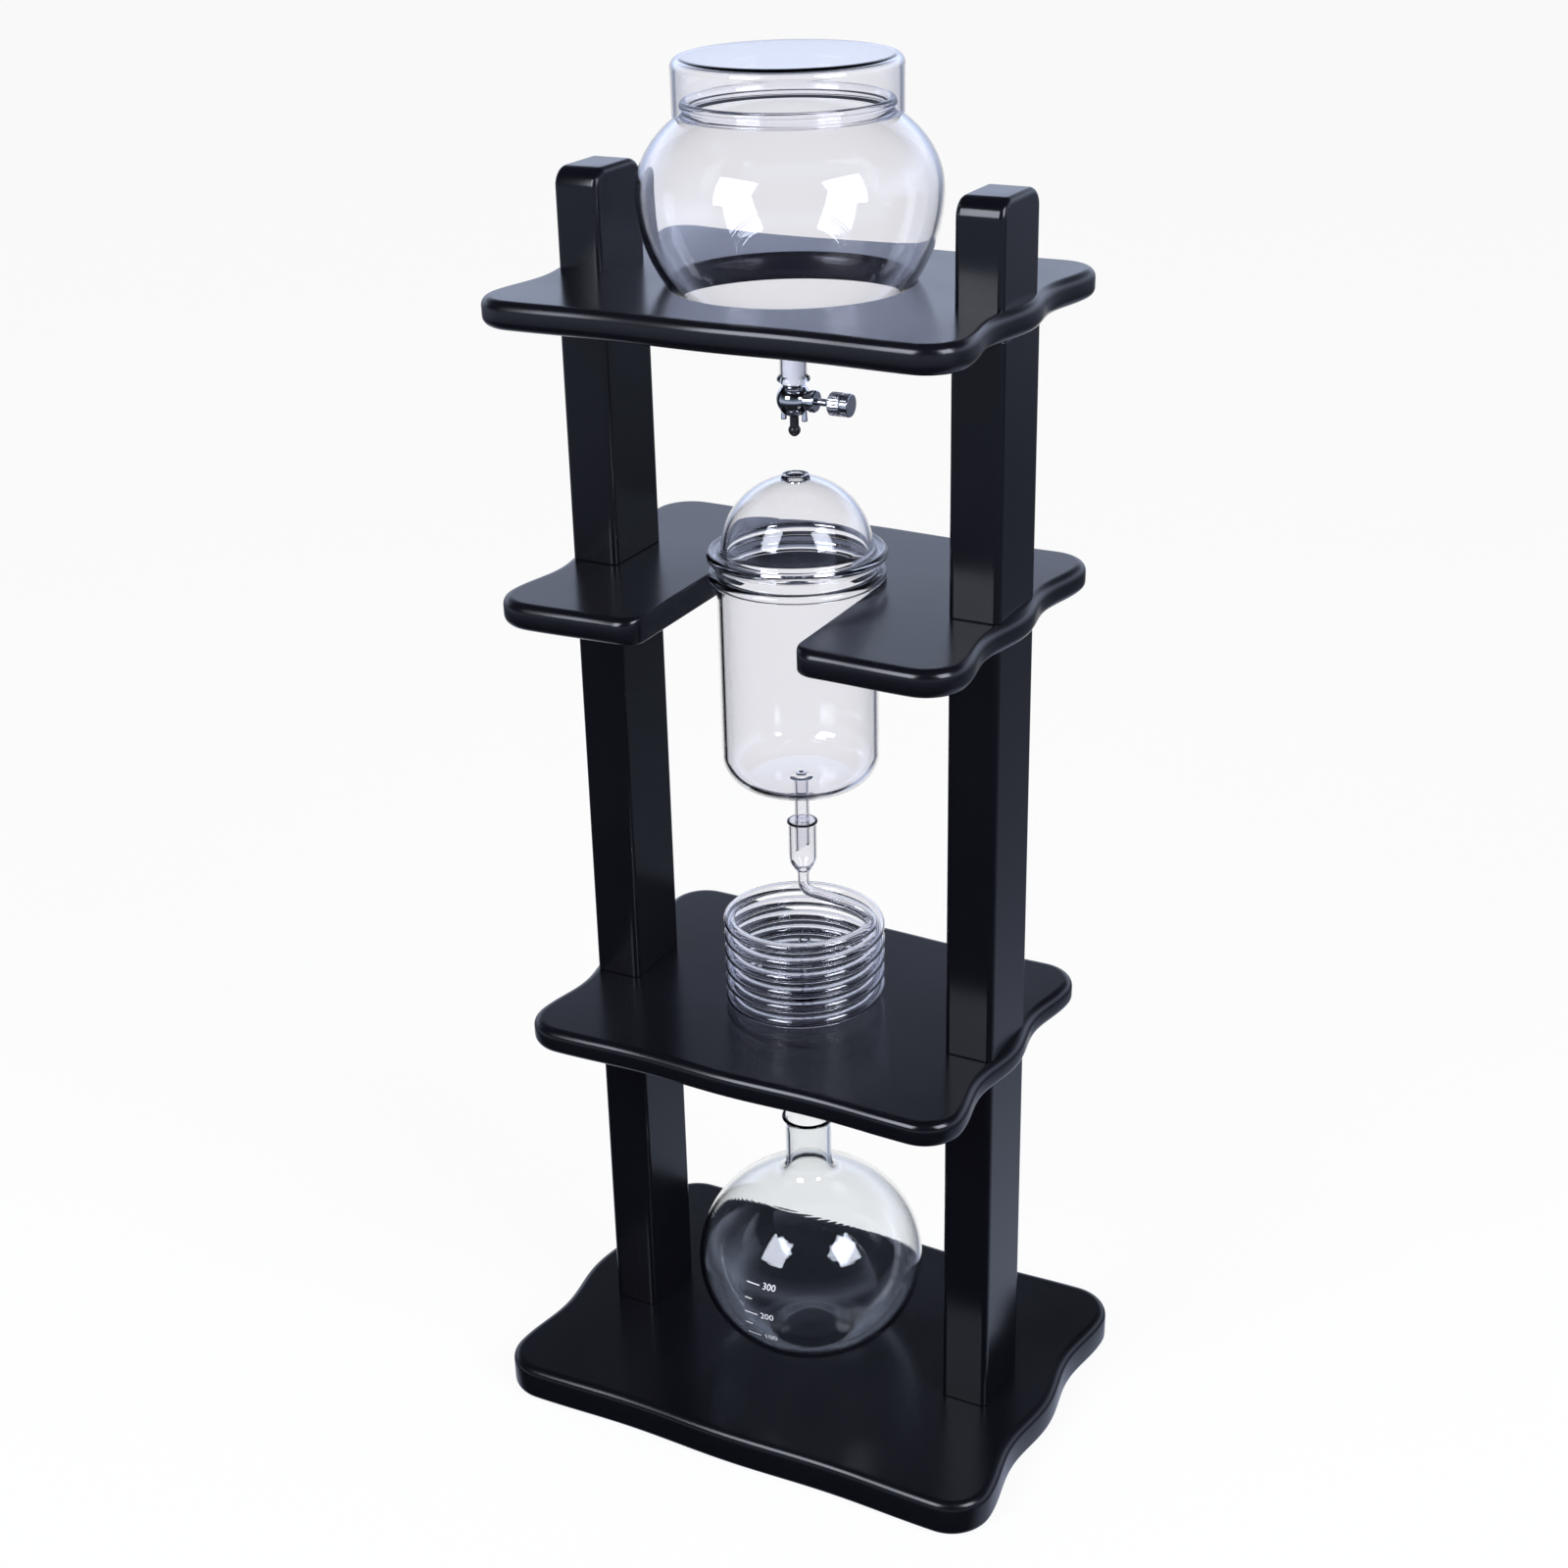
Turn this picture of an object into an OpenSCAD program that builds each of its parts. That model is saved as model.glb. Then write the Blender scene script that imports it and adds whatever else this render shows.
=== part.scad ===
// Cold-drip coffee tower: three shelves and a base on two columns of posts, with a water globe,
// a drip valve, a domed brew chamber, a glass coil and a flask. Millimetres, Z up, origin under
// the middle of the base, X to the right and the open side of the middle shelf towards -Y.

/* [Boards] */
// Width of the base board
base_w = 254; // [246:1:300]
// Depth of the base board
base_d = 182; // [170:1:220]
// Thickness of the base board
base_t = 18; // [16:0.5:24]
// Corner radius of the base board
base_corner = 20; // [12:1:28]
// Width of the shelves
shelf_w = 214; // [208:1:240]
// Depth of the shelves
shelf_d = 160; // [150:1:180]
// Thickness of the shelves
shelf_t = 12; // [10:0.5:16]
// Corner radius of the shelves
shelf_corner = 18; // [12:1:24]
// How far the left and right edges wave inwards
side_dip = 4; // [0:0.5:6]
// How far the front and back edges wave inwards
front_dip = 1.5; // [0:0.5:4]
// Rounding of the board edges
board_round = 4; // [1.5:0.5:4.5]

/* [Posts] */
// Width of a post
post_w = 23; // [20:1:30]
// Depth of a post
post_d = 39; // [30:1:46]
// Rounding of the upright edges of posts and finials
post_round = 3; // [1:0.5:5]
// Margin between a post and the side of the shelf
post_margin = 5; // [4:0.5:10]
// Height of the lower posts
lower_post_h = 177; // [172:1:230]
// Height of the middle posts
middle_post_h = 194; // [190:1:230]
// Height of the upper posts
upper_post_h = 116; // [110:1:150]
// Height of a finial
finial_h = 42; // [34:1:60]
// How much smaller a finial is than its post on each side
finial_step = 1; // [0.5:0.25:3]
// Rounding of the front and back edges on top of a finial
finial_round = 8; // [4:1:12]

/* [Tie rods] */
// Diameter of a tie rod
rod_d = 6; // [5:0.5:8]
// Gap around a rod in wood
rod_clear = 0.3; // [0.1:0.1:0.6]
// Diameter of the recess under the base
recess_d = 20; // [18:1:22]
// Depth of the recess under the base
recess_depth = 9; // [8:0.5:11]
// Diameter of a washer
washer_d = 16; // [13:1:17]
// Thickness of a washer
washer_t = 1.6; // [1:0.2:2]
// Width of a nut across its flats
nut_flats = 10; // [9:0.5:13]
// Height of a nut
nut_h = 5; // [4:0.5:6]
// Length of the rod below its nut
rod_tip = 1; // [0.5:0.5:2]
// Diameter of the threaded insert in a finial
insert_d = 9.5; // [9:0.5:12]
// Length of the threaded insert
insert_len = 15; // [10:1:20]
// Drilled depth past the insert
insert_spare = 4; // [2:1:8]

/* [Water globe] */
// Greatest radius of the globe
globe_r = 62.5; // [58:0.5:70]
// Height from the middle of the globe to the top of its upper half, neck left out
globe_crown = 43; // [38:0.5:46]
// Glass thickness of the globe
globe_wall = 2.5; // [1.5:0.25:4]
// Outer radius of the short neck
neck_r = 42.2; // [38:0.2:44]
// Radius of the round lip on the neck
lip_r = 1.85; // [1.3:0.05:2.2]
// How far the lip stands out past the neck
lip_out = 1.2; // [0.4:0.1:1.6]
// Straight height of the neck below the lip
neck_h = 1.2; // [0.6:0.2:6]
// Radius of the hole in the top shelf
globe_hole_r = 50; // [44:0.5:54]
// Depth of the bevel that seats the globe
seat_bevel = 2; // [1:0.25:4]
// Outer radius of the outlet under the globe
outlet_r = 5.8; // [5.2:0.1:8]
// Glass thickness of the outlet
outlet_wall = 1.2; // [0.8:0.1:1.6]
// Length of the outlet below the globe
outlet_len = 16.2; // [14:0.2:24]
// Radius of the bead at the end of the outlet
bead_r = 1.7; // [1.3:0.05:2]
// How far the bead stands out past the outlet
bead_out = 1.2; // [0.8:0.1:1.6]
// How far the globe's curve runs out into its outlet
globe_fillet = 4; // [2:0.5:6]

/* [Globe lid] */
// Glass thickness of the lid
lid_wall = 2; // [1.5:0.25:3]
// Height of the lid
lid_h = 22.5; // [14:0.5:26]
// Gap between the lid's skirt and the lip
lid_clear = 1.1; // [0.4:0.1:2]
// Rounding of the lid's top edge
lid_round = 4; // [3:0.5:6]

/* [Drip valve] */
// Radius of the valve ball
ball_r = 7.4; // [6.6:0.1:9]
// Height from the middle of the ball to the end of the outlet
ball_drop = 7; // [6:0.25:8]
// Radius of the collar over the ball
collar_r = 4.6; // [4:0.1:5.4]
// Radius of the inlet stem inside the sleeve
inlet_r = 2.9; // [2:0.1:3.2]
// Length of the inlet stem inside the outlet
inlet_len = 11; // [8:0.5:13]
// Radius of the water way
water_way_r = 1; // [0.6:0.1:1.2]
// Radius of the side boss
boss_r = 4.2; // [3.8:0.1:5]
// Distance from the valve's middle to the end of the boss
boss_reach = 8; // [7.6:0.1:9]
// Radius of the needle
needle_r = 1.6; // [1.2:0.05:1.8]
// Running gap around the needle and the stem
needle_clear = 0.05; // [0.03:0.01:0.08]
// How far the closed needle reaches past the water way
needle_past = 0.6; // [0.2:0.1:1]
// Length of the needle's point
needle_point = 1.2; // [0.6:0.1:2]
// Radius of the seal's outer edge
seal_r = 2.6; // [2.2:0.1:3]
// Thickness of the seal
seal_t = 1.5; // [1:0.1:2]
// Radius of the gland nut
gland_r = 4.7; // [4:0.1:5.5]
// Thickness of the gland nut
gland_t = 2.7; // [2:0.1:4]
// Length of bare stem between the gland nut and the knob
stem_bare = 4.6; // [3:0.2:8]
// Radius of the knob
knob_r = 5; // [4:0.25:7]
// Length of the knob's cone
knob_cone = 2.3; // [1.5:0.1:4]
// Length of the knob's grip
knob_grip = 5.2; // [4:0.2:9]
// Width of the groove behind the knob's end disc
knob_groove = 0.8; // [0.4:0.1:1.5]
// Thickness of the knob's end disc
knob_disc = 3.1; // [2:0.1:4]
// Radius of a leg's foot under the ball
leg_r = 1.3; // [1:0.1:1.6]
// Distance of a leg from the valve's middle
leg_reach = 4.9; // [4.2:0.1:5.6]
// Distance from the middle of the ball down to the feet
leg_drop = 9.1; // [8:0.1:12]
// Radius of the nozzle's tube
nozzle_r = 1.9; // [1.2:0.1:2]
// Radius of the nozzle's bulb
bulb_r = 2.6; // [2.4:0.1:3.2]
// Distance from the middle of the ball down to the drip point
nozzle_drop = 15.8; // [14:0.2:22]

/* [Brew chamber] */
// Outer radius of the chamber
chamber_r = 35; // [30:0.5:40]
// Glass thickness of the chamber and the dome
chamber_wall = 2.2; // [1.5:0.1:3]
// Depth of the chamber below the middle shelf's top
chamber_depth = 95; // [80:1:100]
// Radius of the chamber's bottom edge
chamber_corner = 14; // [8:0.5:20]
// Radius of the chamber's flange
flange_r = 38.7; // [38:0.1:46]
// Thickness of the chamber's flange
flange_t = 4.2; // [3:0.1:6]
// Height of the chamber's mouth above its flange
mouth_h = 4; // [2:0.5:8]
// Outer radius of the chamber's drip tube
drip_tube_r = 3.25; // [2.6:0.05:3.6]
// Bore radius of the chamber's drip tube
drip_bore_r = 2.15; // [1.5:0.05:2.3]
// Length of the drip tube on its long side
drip_tube_len = 36.2; // [26:0.2:40]
// Slope of the cut across the end of the drip tube, in degrees
drip_slope = 34; // [0:1:45]
// Half width of the slot in the middle shelf
slot_half = 36.5; // [36.3:0.1:42]
// Rounding of the slot's front corners
slot_round = 9; // [4:0.5:12]

/* [Dome] */
// Outer radius of the dome
dome_r = 33; // [28:0.5:34]
// Radius of the dome's flange
dome_flange_r = 39.1; // [37:0.1:44]
// Thickness of the dome's flange
dome_flange_t = 4.5; // [3:0.1:6]
// Height of the dome's centre above the foot of its flange
dome_rise = 3.2; // [2:0.1:4]
// Radius of the hole on top of the dome
dome_hole_r = 3.9; // [3:0.1:6]
// Outer radius of the collar round that hole
dome_collar_r = 6; // [5.4:0.1:8]
// Height of the collar above the dome
dome_collar_h = 1.6; // [0.8:0.2:4]

/* [Glass coil] */
// Outer radius of the coil's tube
tube_r = 2.6; // [2:0.1:3]
// Bore radius of the coil's tube
tube_bore_r = 1.7; // [1:0.1:1.8]
// Radius of the coil at the middle of its tube
coil_r = 34.5; // [28:0.5:40]
// Number of turns
coil_turns = 5.5; // [4:0.25:6]
// Direction in which the tube reaches its first turn, in degrees
coil_entry = 25; // [0:5:60]
// Radius of the bend under the funnel's stem
entry_bend = 6.5; // [5:0.5:8]
// Slope of the tube on its way out to the first turn, in degrees
entry_slope = 17; // [8:1:20]
// Outer radius of the funnel
funnel_r = 6.4; // [5.6:0.1:8]
// Glass thickness of the funnel
funnel_wall = 1.1; // [0.8:0.1:1.6]
// Outer radius of the funnel's rim
funnel_rim_r = 7; // [6.4:0.1:9]
// Height of the funnel's straight part
funnel_h = 18; // [12:0.5:24]
// Height of the funnel's taper
funnel_taper = 8.2; // [6:0.2:12]
// Length of straight tube under the funnel
funnel_stem = 4.4; // [2:0.2:8]
// How deep the drip tube reaches into the funnel
funnel_overlap = 15.8; // [8:0.2:17]
// Height of the down tube above the lower shelf
tail_rise = 30; // [12:1:36]
// Length of the down tube below the lower shelf's top
tail_drop = 57; // [30:1:60]
// Radius of the hole for the down tube in the lower shelf
tail_hole_r = 7; // [4:0.5:12]

/* [Flask] */
// Greatest radius of the flask
flask_r = 54.5; // [46:0.5:60]
// Half of the height of the flask's body, before its foot is flattened
flask_half_h = 49; // [42:0.5:54]
// Radius of the flat foot
flask_foot_r = 21.6; // [14:0.2:30]
// Glass thickness of the flask
flask_wall = 2; // [1.5:0.1:3]
// Outer radius of the flask's neck
flask_neck_r = 11; // [9:0.2:16]
// Height from the middle of the body to the mouth
flask_neck_h = 79.4; // [68:0.2:82]
// Radius of the flask's rim
flask_rim_r = 12.5; // [12:0.1:18]

/* [Hidden] */

$fn = 64;
left = -1;
right = 1;
rest_gap = 0.3;          // air under a piece that lifts off its seat
snug = 0.05;             // gap between pieces that stay together
past = 1;                // how far a cutter runs past the face that it cuts
skip = 4;                // degrees left out where two arcs meet
shoulder_out = 1.3;      // the globe's shoulder curve runs this far out from the neck
shoulder_rise = 1;       // and this far up it
long_steps = 16;         // steps along long, middling and short curves
mid_steps = 8;
short_steps = 4;
board_side_steps = 10;
board_corner_steps = 6;
board_edge_steps = 3;
tube_sides = 8;
turn_steps = 20;
bend_steps = 5;
entry_steps = 9;
exit_steps = 8;

// Heights of the frame
base_top = base_t;
lower_shelf_z = base_top + lower_post_h;
lower_shelf_top = lower_shelf_z + shelf_t;
middle_shelf_z = lower_shelf_top + middle_post_h;
middle_shelf_top = middle_shelf_z + shelf_t;
top_shelf_z = middle_shelf_top + upper_post_h;
top_shelf_top = top_shelf_z + shelf_t;
post_x = shelf_w / 2 - post_margin - post_w / 2;

// Rods run from the recess under the base up into the finials
rod_r = rod_d / 2;
rod_hole_r = rod_r + rod_clear;
insert_hole_r = insert_d / 2 + snug;
nut_z = recess_depth - washer_t - nut_h;

// The globe hangs in the bevelled hole of the top shelf
globe_z = top_shelf_top - seat_bevel + sqrt(pow(globe_r + rest_gap, 2) - pow(globe_hole_r, 2));
outlet_z = globe_z - globe_r - outlet_len;
outlet_bore_r = outlet_r - outlet_wall;
valve_z = outlet_z - ball_drop;
stem_start = boss_reach + gland_t / 3;    // the needle ends inside the gland nut
knob_start = boss_reach + gland_t + stem_bare;
socket_z = valve_z - ball_r / 2;          // top of the nozzle's socket and of the legs
lip_centre_r = neck_r + lip_out - lip_r;
shoulder_r = neck_r + shoulder_out;
neck_base_z = globe_z + globe_crown * sqrt(1 - pow(shoulder_r / globe_r, 2));
lip_z = neck_base_z + shoulder_rise + neck_h + lip_r;
lid_bore_r = neck_r + lip_out + lid_clear;
lid_z = globe_z + globe_crown * sqrt(1 - pow(lid_bore_r / globe_r, 2)) + rest_gap;

// The chamber stands on the middle shelf by its flange
flange_z = middle_shelf_top + rest_gap;
mouth_z = flange_z + flange_t + mouth_h;
chamber_floor_z = middle_shelf_top - chamber_depth;
drip_end_z = chamber_floor_z - drip_tube_len;
dome_flange_z = mouth_z + rest_gap;
dome_z = dome_flange_z + dome_rise;

// The coil stands on the lower shelf and its funnel takes the end of the drip tube
funnel_rim_z = drip_end_z + funnel_overlap;
funnel_foot_z = funnel_rim_z - funnel_h - funnel_taper;
coil_start_z = funnel_foot_z - funnel_stem;
coil_low_z = lower_shelf_top + rest_gap + tube_r;
entry_sweep = 30;        // degrees that the tube turns on its way out from the axis
exit_sweep = 70;         // degrees that it turns on its way back in
entry_r = entry_bend * (1 - sin(entry_slope));
entry_z = coil_start_z - entry_bend * cos(entry_slope);
coil_top_z = entry_z - (coil_r - entry_r) * tan(entry_slope);

flask_z = base_top + rest_gap + flask_half_h * sqrt(1 - pow(flask_foot_r / flask_r, 2));

// ---- shared shapes ----

function unit(v) = v / norm(v);

function flipped(points) = [for (i = [len(points) - 1 : -1 : 0]) points[i]];

// Points on an ellipse about centre, from one angle to another
function arc(centre, radii, from, to, steps) = [
    for (i = [0 : steps])
        let (a = from + (to - from) * i / steps)
            [centre.x + radii.x * cos(a), centre.y + radii.y * sin(a)]
];

// Points on a curve that leaves start and reaches end along the lines through corner
function bend(start, corner, end, steps) = [
    for (i = [0 : steps])
        let (t = i / steps)
            start * pow(1 - t, 2) + corner * 2 * t * (1 - t) + end * pow(t, 2)
];

function wave(s, dip) = dip * (1 - cos(360 * s)) / 2;

// Points along one side of a board, corners left out: reach is the distance of the side from
// the middle, half_run half of its straight run, and turn its direction
function board_side(reach, half_run, dip, turn) = [
    for (i = [1 : board_side_steps - 1])
        let (
            s = 2 * i / board_side_steps - 1,
            out = reach - wave(s, dip),
            along = s * half_run
        )
            [out * cos(turn) - along * sin(turn), out * sin(turn) + along * cos(turn)]
];

// Outline of a board, anticlockwise, drawn in by inset all round
function board_outline(half_w, half_d, corner, inset) =
    let (
        run_x = half_w - corner,
        run_y = half_d - corner,
        r = corner - inset,
        steps = board_corner_steps
    )
        concat(
            board_side(half_w - inset, run_y, side_dip, 0),
            arc([run_x, run_y], [r, r], 0, 90, steps),
            board_side(half_d - inset, run_x, front_dip, 90),
            arc([-run_x, run_y], [r, r], 90, 180, steps),
            board_side(half_w - inset, run_y, side_dip, 180),
            arc([-run_x, -run_y], [r, r], 180, 270, steps),
            board_side(half_d - inset, run_x, front_dip, 270),
            arc([run_x, -run_y], [r, r], 270, 360, steps)
        );

// Inset and height of each ring of the rounded lower edge
board_edge = [
    for (i = [0 : board_edge_steps])
        let (a = 90 * i / board_edge_steps)
            [board_round * (1 - sin(a)), board_round * (1 - cos(a))]
];

// Board with a wavy outline and rounded edges, standing on z = 0
module board(width, depth, corner, thick) {
    rings = concat(board_edge, [for (e = flipped(board_edge)) [e[0], thick - e[1]]]);
    outlines = [for (ring = rings) board_outline(width / 2, depth / 2, corner, ring[0])];
    count = len(outlines[0]);
    last = len(rings) - 1;
    middle = (last + 1) * count;
    points = concat(
        [for (k = [0 : last]) for (p = outlines[k]) [p.x, p.y, rings[k][1]]],
        [[0, 0, 0], [0, 0, thick]]
    );
    walls = [
        for (k = [0 : last - 1])
            for (j = [0 : count - 1])
                let (
                    a = k * count + j,
                    b = k * count + (j + 1) % count
                )
                    each [[a, a + count, b + count], [a, b + count, b]]
    ];
    bottom = [for (j = [0 : count - 1]) [middle, j, (j + 1) % count]];
    top = [for (j = [0 : count - 1]) [middle + 1, last * count + (j + 1) % count, last * count + j]];
    polyhedron(points, concat(walls, bottom, top));
}

module upright_rectangle(width, depth, radius, height) {
    linear_extrude(height) {
        square([width - 2 * radius, depth], center = true);
        square([width, depth - 2 * radius], center = true);
        for (x = [left, right])
            for (y = [-1, 1])
                translate([x * (width / 2 - radius), y * (depth / 2 - radius)]) circle(radius);
    }
}

module on_both_columns() {
    for (side = [left, right]) translate([side * post_x, 0, 0]) children();
}

module rod_holes(height) {
    on_both_columns() translate([0, 0, -past]) cylinder(r = rod_hole_r, h = height + 2 * past);
}

module along_x(start) {
    translate([start, 0, valve_z]) rotate([0, 90, 0]) children();
}

// ---- boards ----

// Each rod hole opens into a wider recess for the washer and the nut
module base_board() {
    color("#16171c") difference() {
        board(base_w, base_d, base_corner, base_t);
        on_both_columns() rotate_extrude() polygon([
            [0, -past], [recess_d / 2, -past], [recess_d / 2, recess_depth],
            [rod_hole_r, recess_depth], [rod_hole_r, base_t + past], [0, base_t + past]
        ]);
    }
}

module shelf_blank(z) {
    translate([0, 0, z]) difference() {
        board(shelf_w, shelf_d, shelf_corner, shelf_t);
        rod_holes(shelf_t);
    }
}

module lower_shelf() {
    color("#1c1e25") difference() {
        shelf_blank(lower_shelf_z);
        translate([0, 0, lower_shelf_z - past]) cylinder(r = tail_hole_r, h = shelf_t + 2 * past);
    }
}

// Slot that is open to the front, with a round end and rounded front corners
module middle_shelf() {
    front = -shelf_d / 2;
    color("#1c1e25") difference() {
        shelf_blank(middle_shelf_z);
        translate([0, 0, middle_shelf_z - past]) linear_extrude(shelf_t + 2 * past) {
            circle(slot_half);
            translate([-slot_half, front - past]) square([2 * slot_half, past - front]);
            for (side = [left, right])
                difference() {
                    translate([side * (slot_half + slot_round / 2), front + slot_round / 2])
                        square([slot_round + snug, slot_round + snug], center = true);
                    translate([side * (slot_half + slot_round), front + slot_round]) circle(slot_round);
                }
        }
    }
}

module top_shelf() {
    bevel_foot = top_shelf_top - seat_bevel;
    rise = globe_z - top_shelf_top;
    bevel_r = sqrt(pow(globe_r + rest_gap, 2) - pow(rise, 2));
    color("#1c1e25") difference() {
        shelf_blank(top_shelf_z);
        translate([0, 0, top_shelf_z - past]) cylinder(r = globe_hole_r, h = shelf_t + 2 * past);
        translate([0, 0, bevel_foot]) cylinder(r1 = globe_hole_r, r2 = bevel_r, h = seat_bevel);
    }
}

// ---- posts and finials ----

module post(side, z, height) {
    color("#14151a") translate([side * post_x, 0, z]) difference() {
        upright_rectangle(post_w, post_d, post_round, height);
        translate([0, 0, -past]) cylinder(r = rod_hole_r, h = height + 2 * past);
    }
}

module left_lower_post() { post(left, base_top, lower_post_h); }
module right_lower_post() { post(right, base_top, lower_post_h); }
module left_middle_post() { post(left, lower_shelf_top, middle_post_h); }
module right_middle_post() { post(right, lower_shelf_top, middle_post_h); }
module left_upper_post() { post(left, middle_shelf_top, upper_post_h); }
module right_upper_post() { post(right, middle_shelf_top, upper_post_h); }

// Block whose front and back top edges are rounded, with a blind hole for its insert
module finial(side) {
    width = post_w - 2 * finial_step;
    depth = post_d - 2 * finial_step;
    color("#14151a") translate([side * post_x, 0, top_shelf_top]) difference() {
        intersection() {
            upright_rectangle(width, depth, post_round, finial_h);
            translate([-width / 2 - past, 0, 0]) rotate([90, 0, 90]) linear_extrude(width + 2 * past) {
                translate([-depth / 2, 0]) square([depth, finial_h - finial_round]);
                translate([finial_round - depth / 2, 0]) square([depth - 2 * finial_round, finial_h]);
                for (y = [-1, 1])
                    translate([y * (depth / 2 - finial_round), finial_h - finial_round])
                        circle(finial_round);
            }
        }
        translate([0, 0, -past]) cylinder(r = insert_hole_r, h = insert_len + past + snug);
        cylinder(r = rod_hole_r, h = insert_len + insert_spare);
    }
}

module left_finial() { finial(left); }
module right_finial() { finial(right); }

// ---- tie rods and their fasteners ----

module tie_rod(side) {
    foot = nut_z - rod_tip;
    color("#9a9ca0") translate([side * post_x, 0, foot])
        cylinder(r = rod_r - snug, h = top_shelf_top + insert_len - foot);
}

module left_tie_rod() { tie_rod(left); }
module right_tie_rod() { tie_rod(right); }

module rod_nuts() {
    color("#b4b6ba") on_both_columns() translate([0, 0, nut_z]) difference() {
        cylinder(d = nut_flats / cos(30), h = nut_h, $fn = 6);
        translate([0, 0, -past]) cylinder(r = rod_r, h = nut_h + 2 * past);
    }
}

module rod_washers() {
    color("#b4b6ba") on_both_columns() translate([0, 0, nut_z + nut_h]) difference() {
        cylinder(d = washer_d, h = washer_t);
        translate([0, 0, -past]) cylinder(r = rod_hole_r, h = washer_t + 2 * past);
    }
}

module finial_inserts() {
    color("#b9964e") on_both_columns() translate([0, 0, top_shelf_top]) difference() {
        cylinder(d = insert_d, h = insert_len);
        translate([0, 0, -past]) cylinder(r = rod_r, h = insert_len + 2 * past);
    }
}

// ---- water globe, lid and outlet sleeve ----

module water_globe() {
    bead_centre_r = outlet_r + bead_out - bead_r;
    bead_end = acos((outlet_r - bead_centre_r) / bead_r);
    fillet_r = outlet_r + globe_fillet;
    fillet_drop = 3;
    inner_r = globe_r - globe_wall;
    inner_crown = globe_crown - globe_wall;
    inner_fillet_r = outlet_bore_r + globe_fillet;
    foot_z = globe_z - globe_r;
    lip_start = acos((neck_r - lip_centre_r) / lip_r);
    neck_inner_r = lip_centre_r - lip_r;
    outside = concat(
        arc([bead_centre_r, outlet_z + bead_r], [bead_r, bead_r], -90, bead_end, mid_steps),
        bend([outlet_r, foot_z - fillet_drop], [outlet_r, foot_z],
            [fillet_r, globe_z - sqrt(pow(globe_r, 2) - pow(fillet_r, 2))], mid_steps),
        arc([0, globe_z], [globe_r, globe_r], skip - acos(fillet_r / globe_r), 0, long_steps),
        arc([0, globe_z], [globe_r, globe_crown], skip, acos(shoulder_r / globe_r) - skip, mid_steps),
        bend([shoulder_r, neck_base_z], [neck_r, neck_base_z + shoulder_rise],
            [neck_r, neck_base_z + shoulder_rise + neck_h], short_steps),
        arc([lip_centre_r, lip_z], [lip_r, lip_r], skip - lip_start, 180, mid_steps)
    );
    inside = concat(
        arc([0, globe_z], [inner_r, inner_crown], acos(neck_inner_r / inner_r), 0, mid_steps),
        arc([0, globe_z], [inner_r, inner_r], -skip, skip - acos(inner_fillet_r / inner_r), long_steps),
        bend([inner_fillet_r, globe_z - sqrt(pow(inner_r, 2) - pow(inner_fillet_r, 2))],
            [outlet_bore_r, foot_z + globe_wall], [outlet_bore_r, foot_z - fillet_drop], mid_steps),
        [[outlet_bore_r, outlet_z]]
    );
    color("#dfe3ee", 0.4) rotate_extrude($fn = 96) polygon(concat(outside, inside));
}

module globe_lid() {
    outer_r = lid_bore_r + lid_wall;
    arc_r = outer_r - lid_round;
    arc_z = lid_z + lid_h - lid_round;
    inner_round = lid_round - lid_wall;
    outside = concat(
        [[lid_bore_r, lid_z], [outer_r, lid_z]],
        arc([arc_r, arc_z], [lid_round, lid_round], 0, 90, mid_steps),
        [[0, arc_z + lid_round]]
    );
    inside = concat(
        [[0, arc_z + inner_round]],
        arc([arc_r, arc_z], [inner_round, inner_round], 90, 0, mid_steps)
    );
    color("#e6e9f2", 0.4) rotate_extrude($fn = 96) polygon(concat(outside, inside));
}

// Soft sleeve between the glass outlet and the inlet stem of the valve
module outlet_sleeve() {
    color("#eceef2") translate([0, 0, outlet_z + snug]) difference() {
        cylinder(r = outlet_bore_r - snug, h = inlet_len);
        translate([0, 0, -past]) cylinder(r = inlet_r + snug, h = inlet_len + 2 * past);
    }
}

// ---- drip valve ----

module valve_leg(side) {
    foot_z = valve_z - leg_drop;
    top_r = leg_r * 3 / 4;
    translate([side * leg_reach, 0, foot_z]) cylinder(r1 = leg_r, r2 = top_r, h = socket_z - foot_z);
}

module valve_body() {
    bore_start = -needle_past - water_way_r - rest_gap;
    color("#c9ccd2") difference() {
        union() {
            translate([0, 0, valve_z]) sphere(ball_r);
            translate([0, 0, valve_z]) cylinder(r = collar_r, h = ball_drop - snug);
            translate([0, 0, valve_z]) cylinder(r = inlet_r, h = ball_drop + inlet_len);
            along_x(0) cylinder(r = boss_r, h = boss_reach);
            valve_leg(left);
            valve_leg(right);
        }
        translate([0, 0, valve_z - ball_r - past])
            cylinder(r = water_way_r, h = ball_r + ball_drop + inlet_len + 2 * past);
        translate([0, 0, valve_z - ball_r - past])
            cylinder(r = nozzle_r + snug, h = socket_z - valve_z + ball_r + past);
        along_x(bore_start) cylinder(r = needle_r + needle_clear, h = boss_reach - bore_start + past);
        along_x(boss_reach - seal_t - snug) cylinder(r = seal_r + snug, h = seal_t + snug + past);
    }
}

module valve_nozzle() {
    top_z = socket_z - snug;
    tip_z = valve_z - nozzle_drop;
    bulb_z = tip_z + bulb_r;
    neck = asin(nozzle_r / bulb_r);
    mouth_r = water_way_r + rest_gap;
    outside = concat(
        [[mouth_r, tip_z]],
        arc([0, bulb_z], [bulb_r, bulb_r], skip - acos(mouth_r / bulb_r), 90 - neck, mid_steps),
        [[nozzle_r, top_z], [water_way_r, top_z], [water_way_r, tip_z]]
    );
    color("#2a2b30") rotate_extrude($fn = 32) polygon(outside);
}

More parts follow.
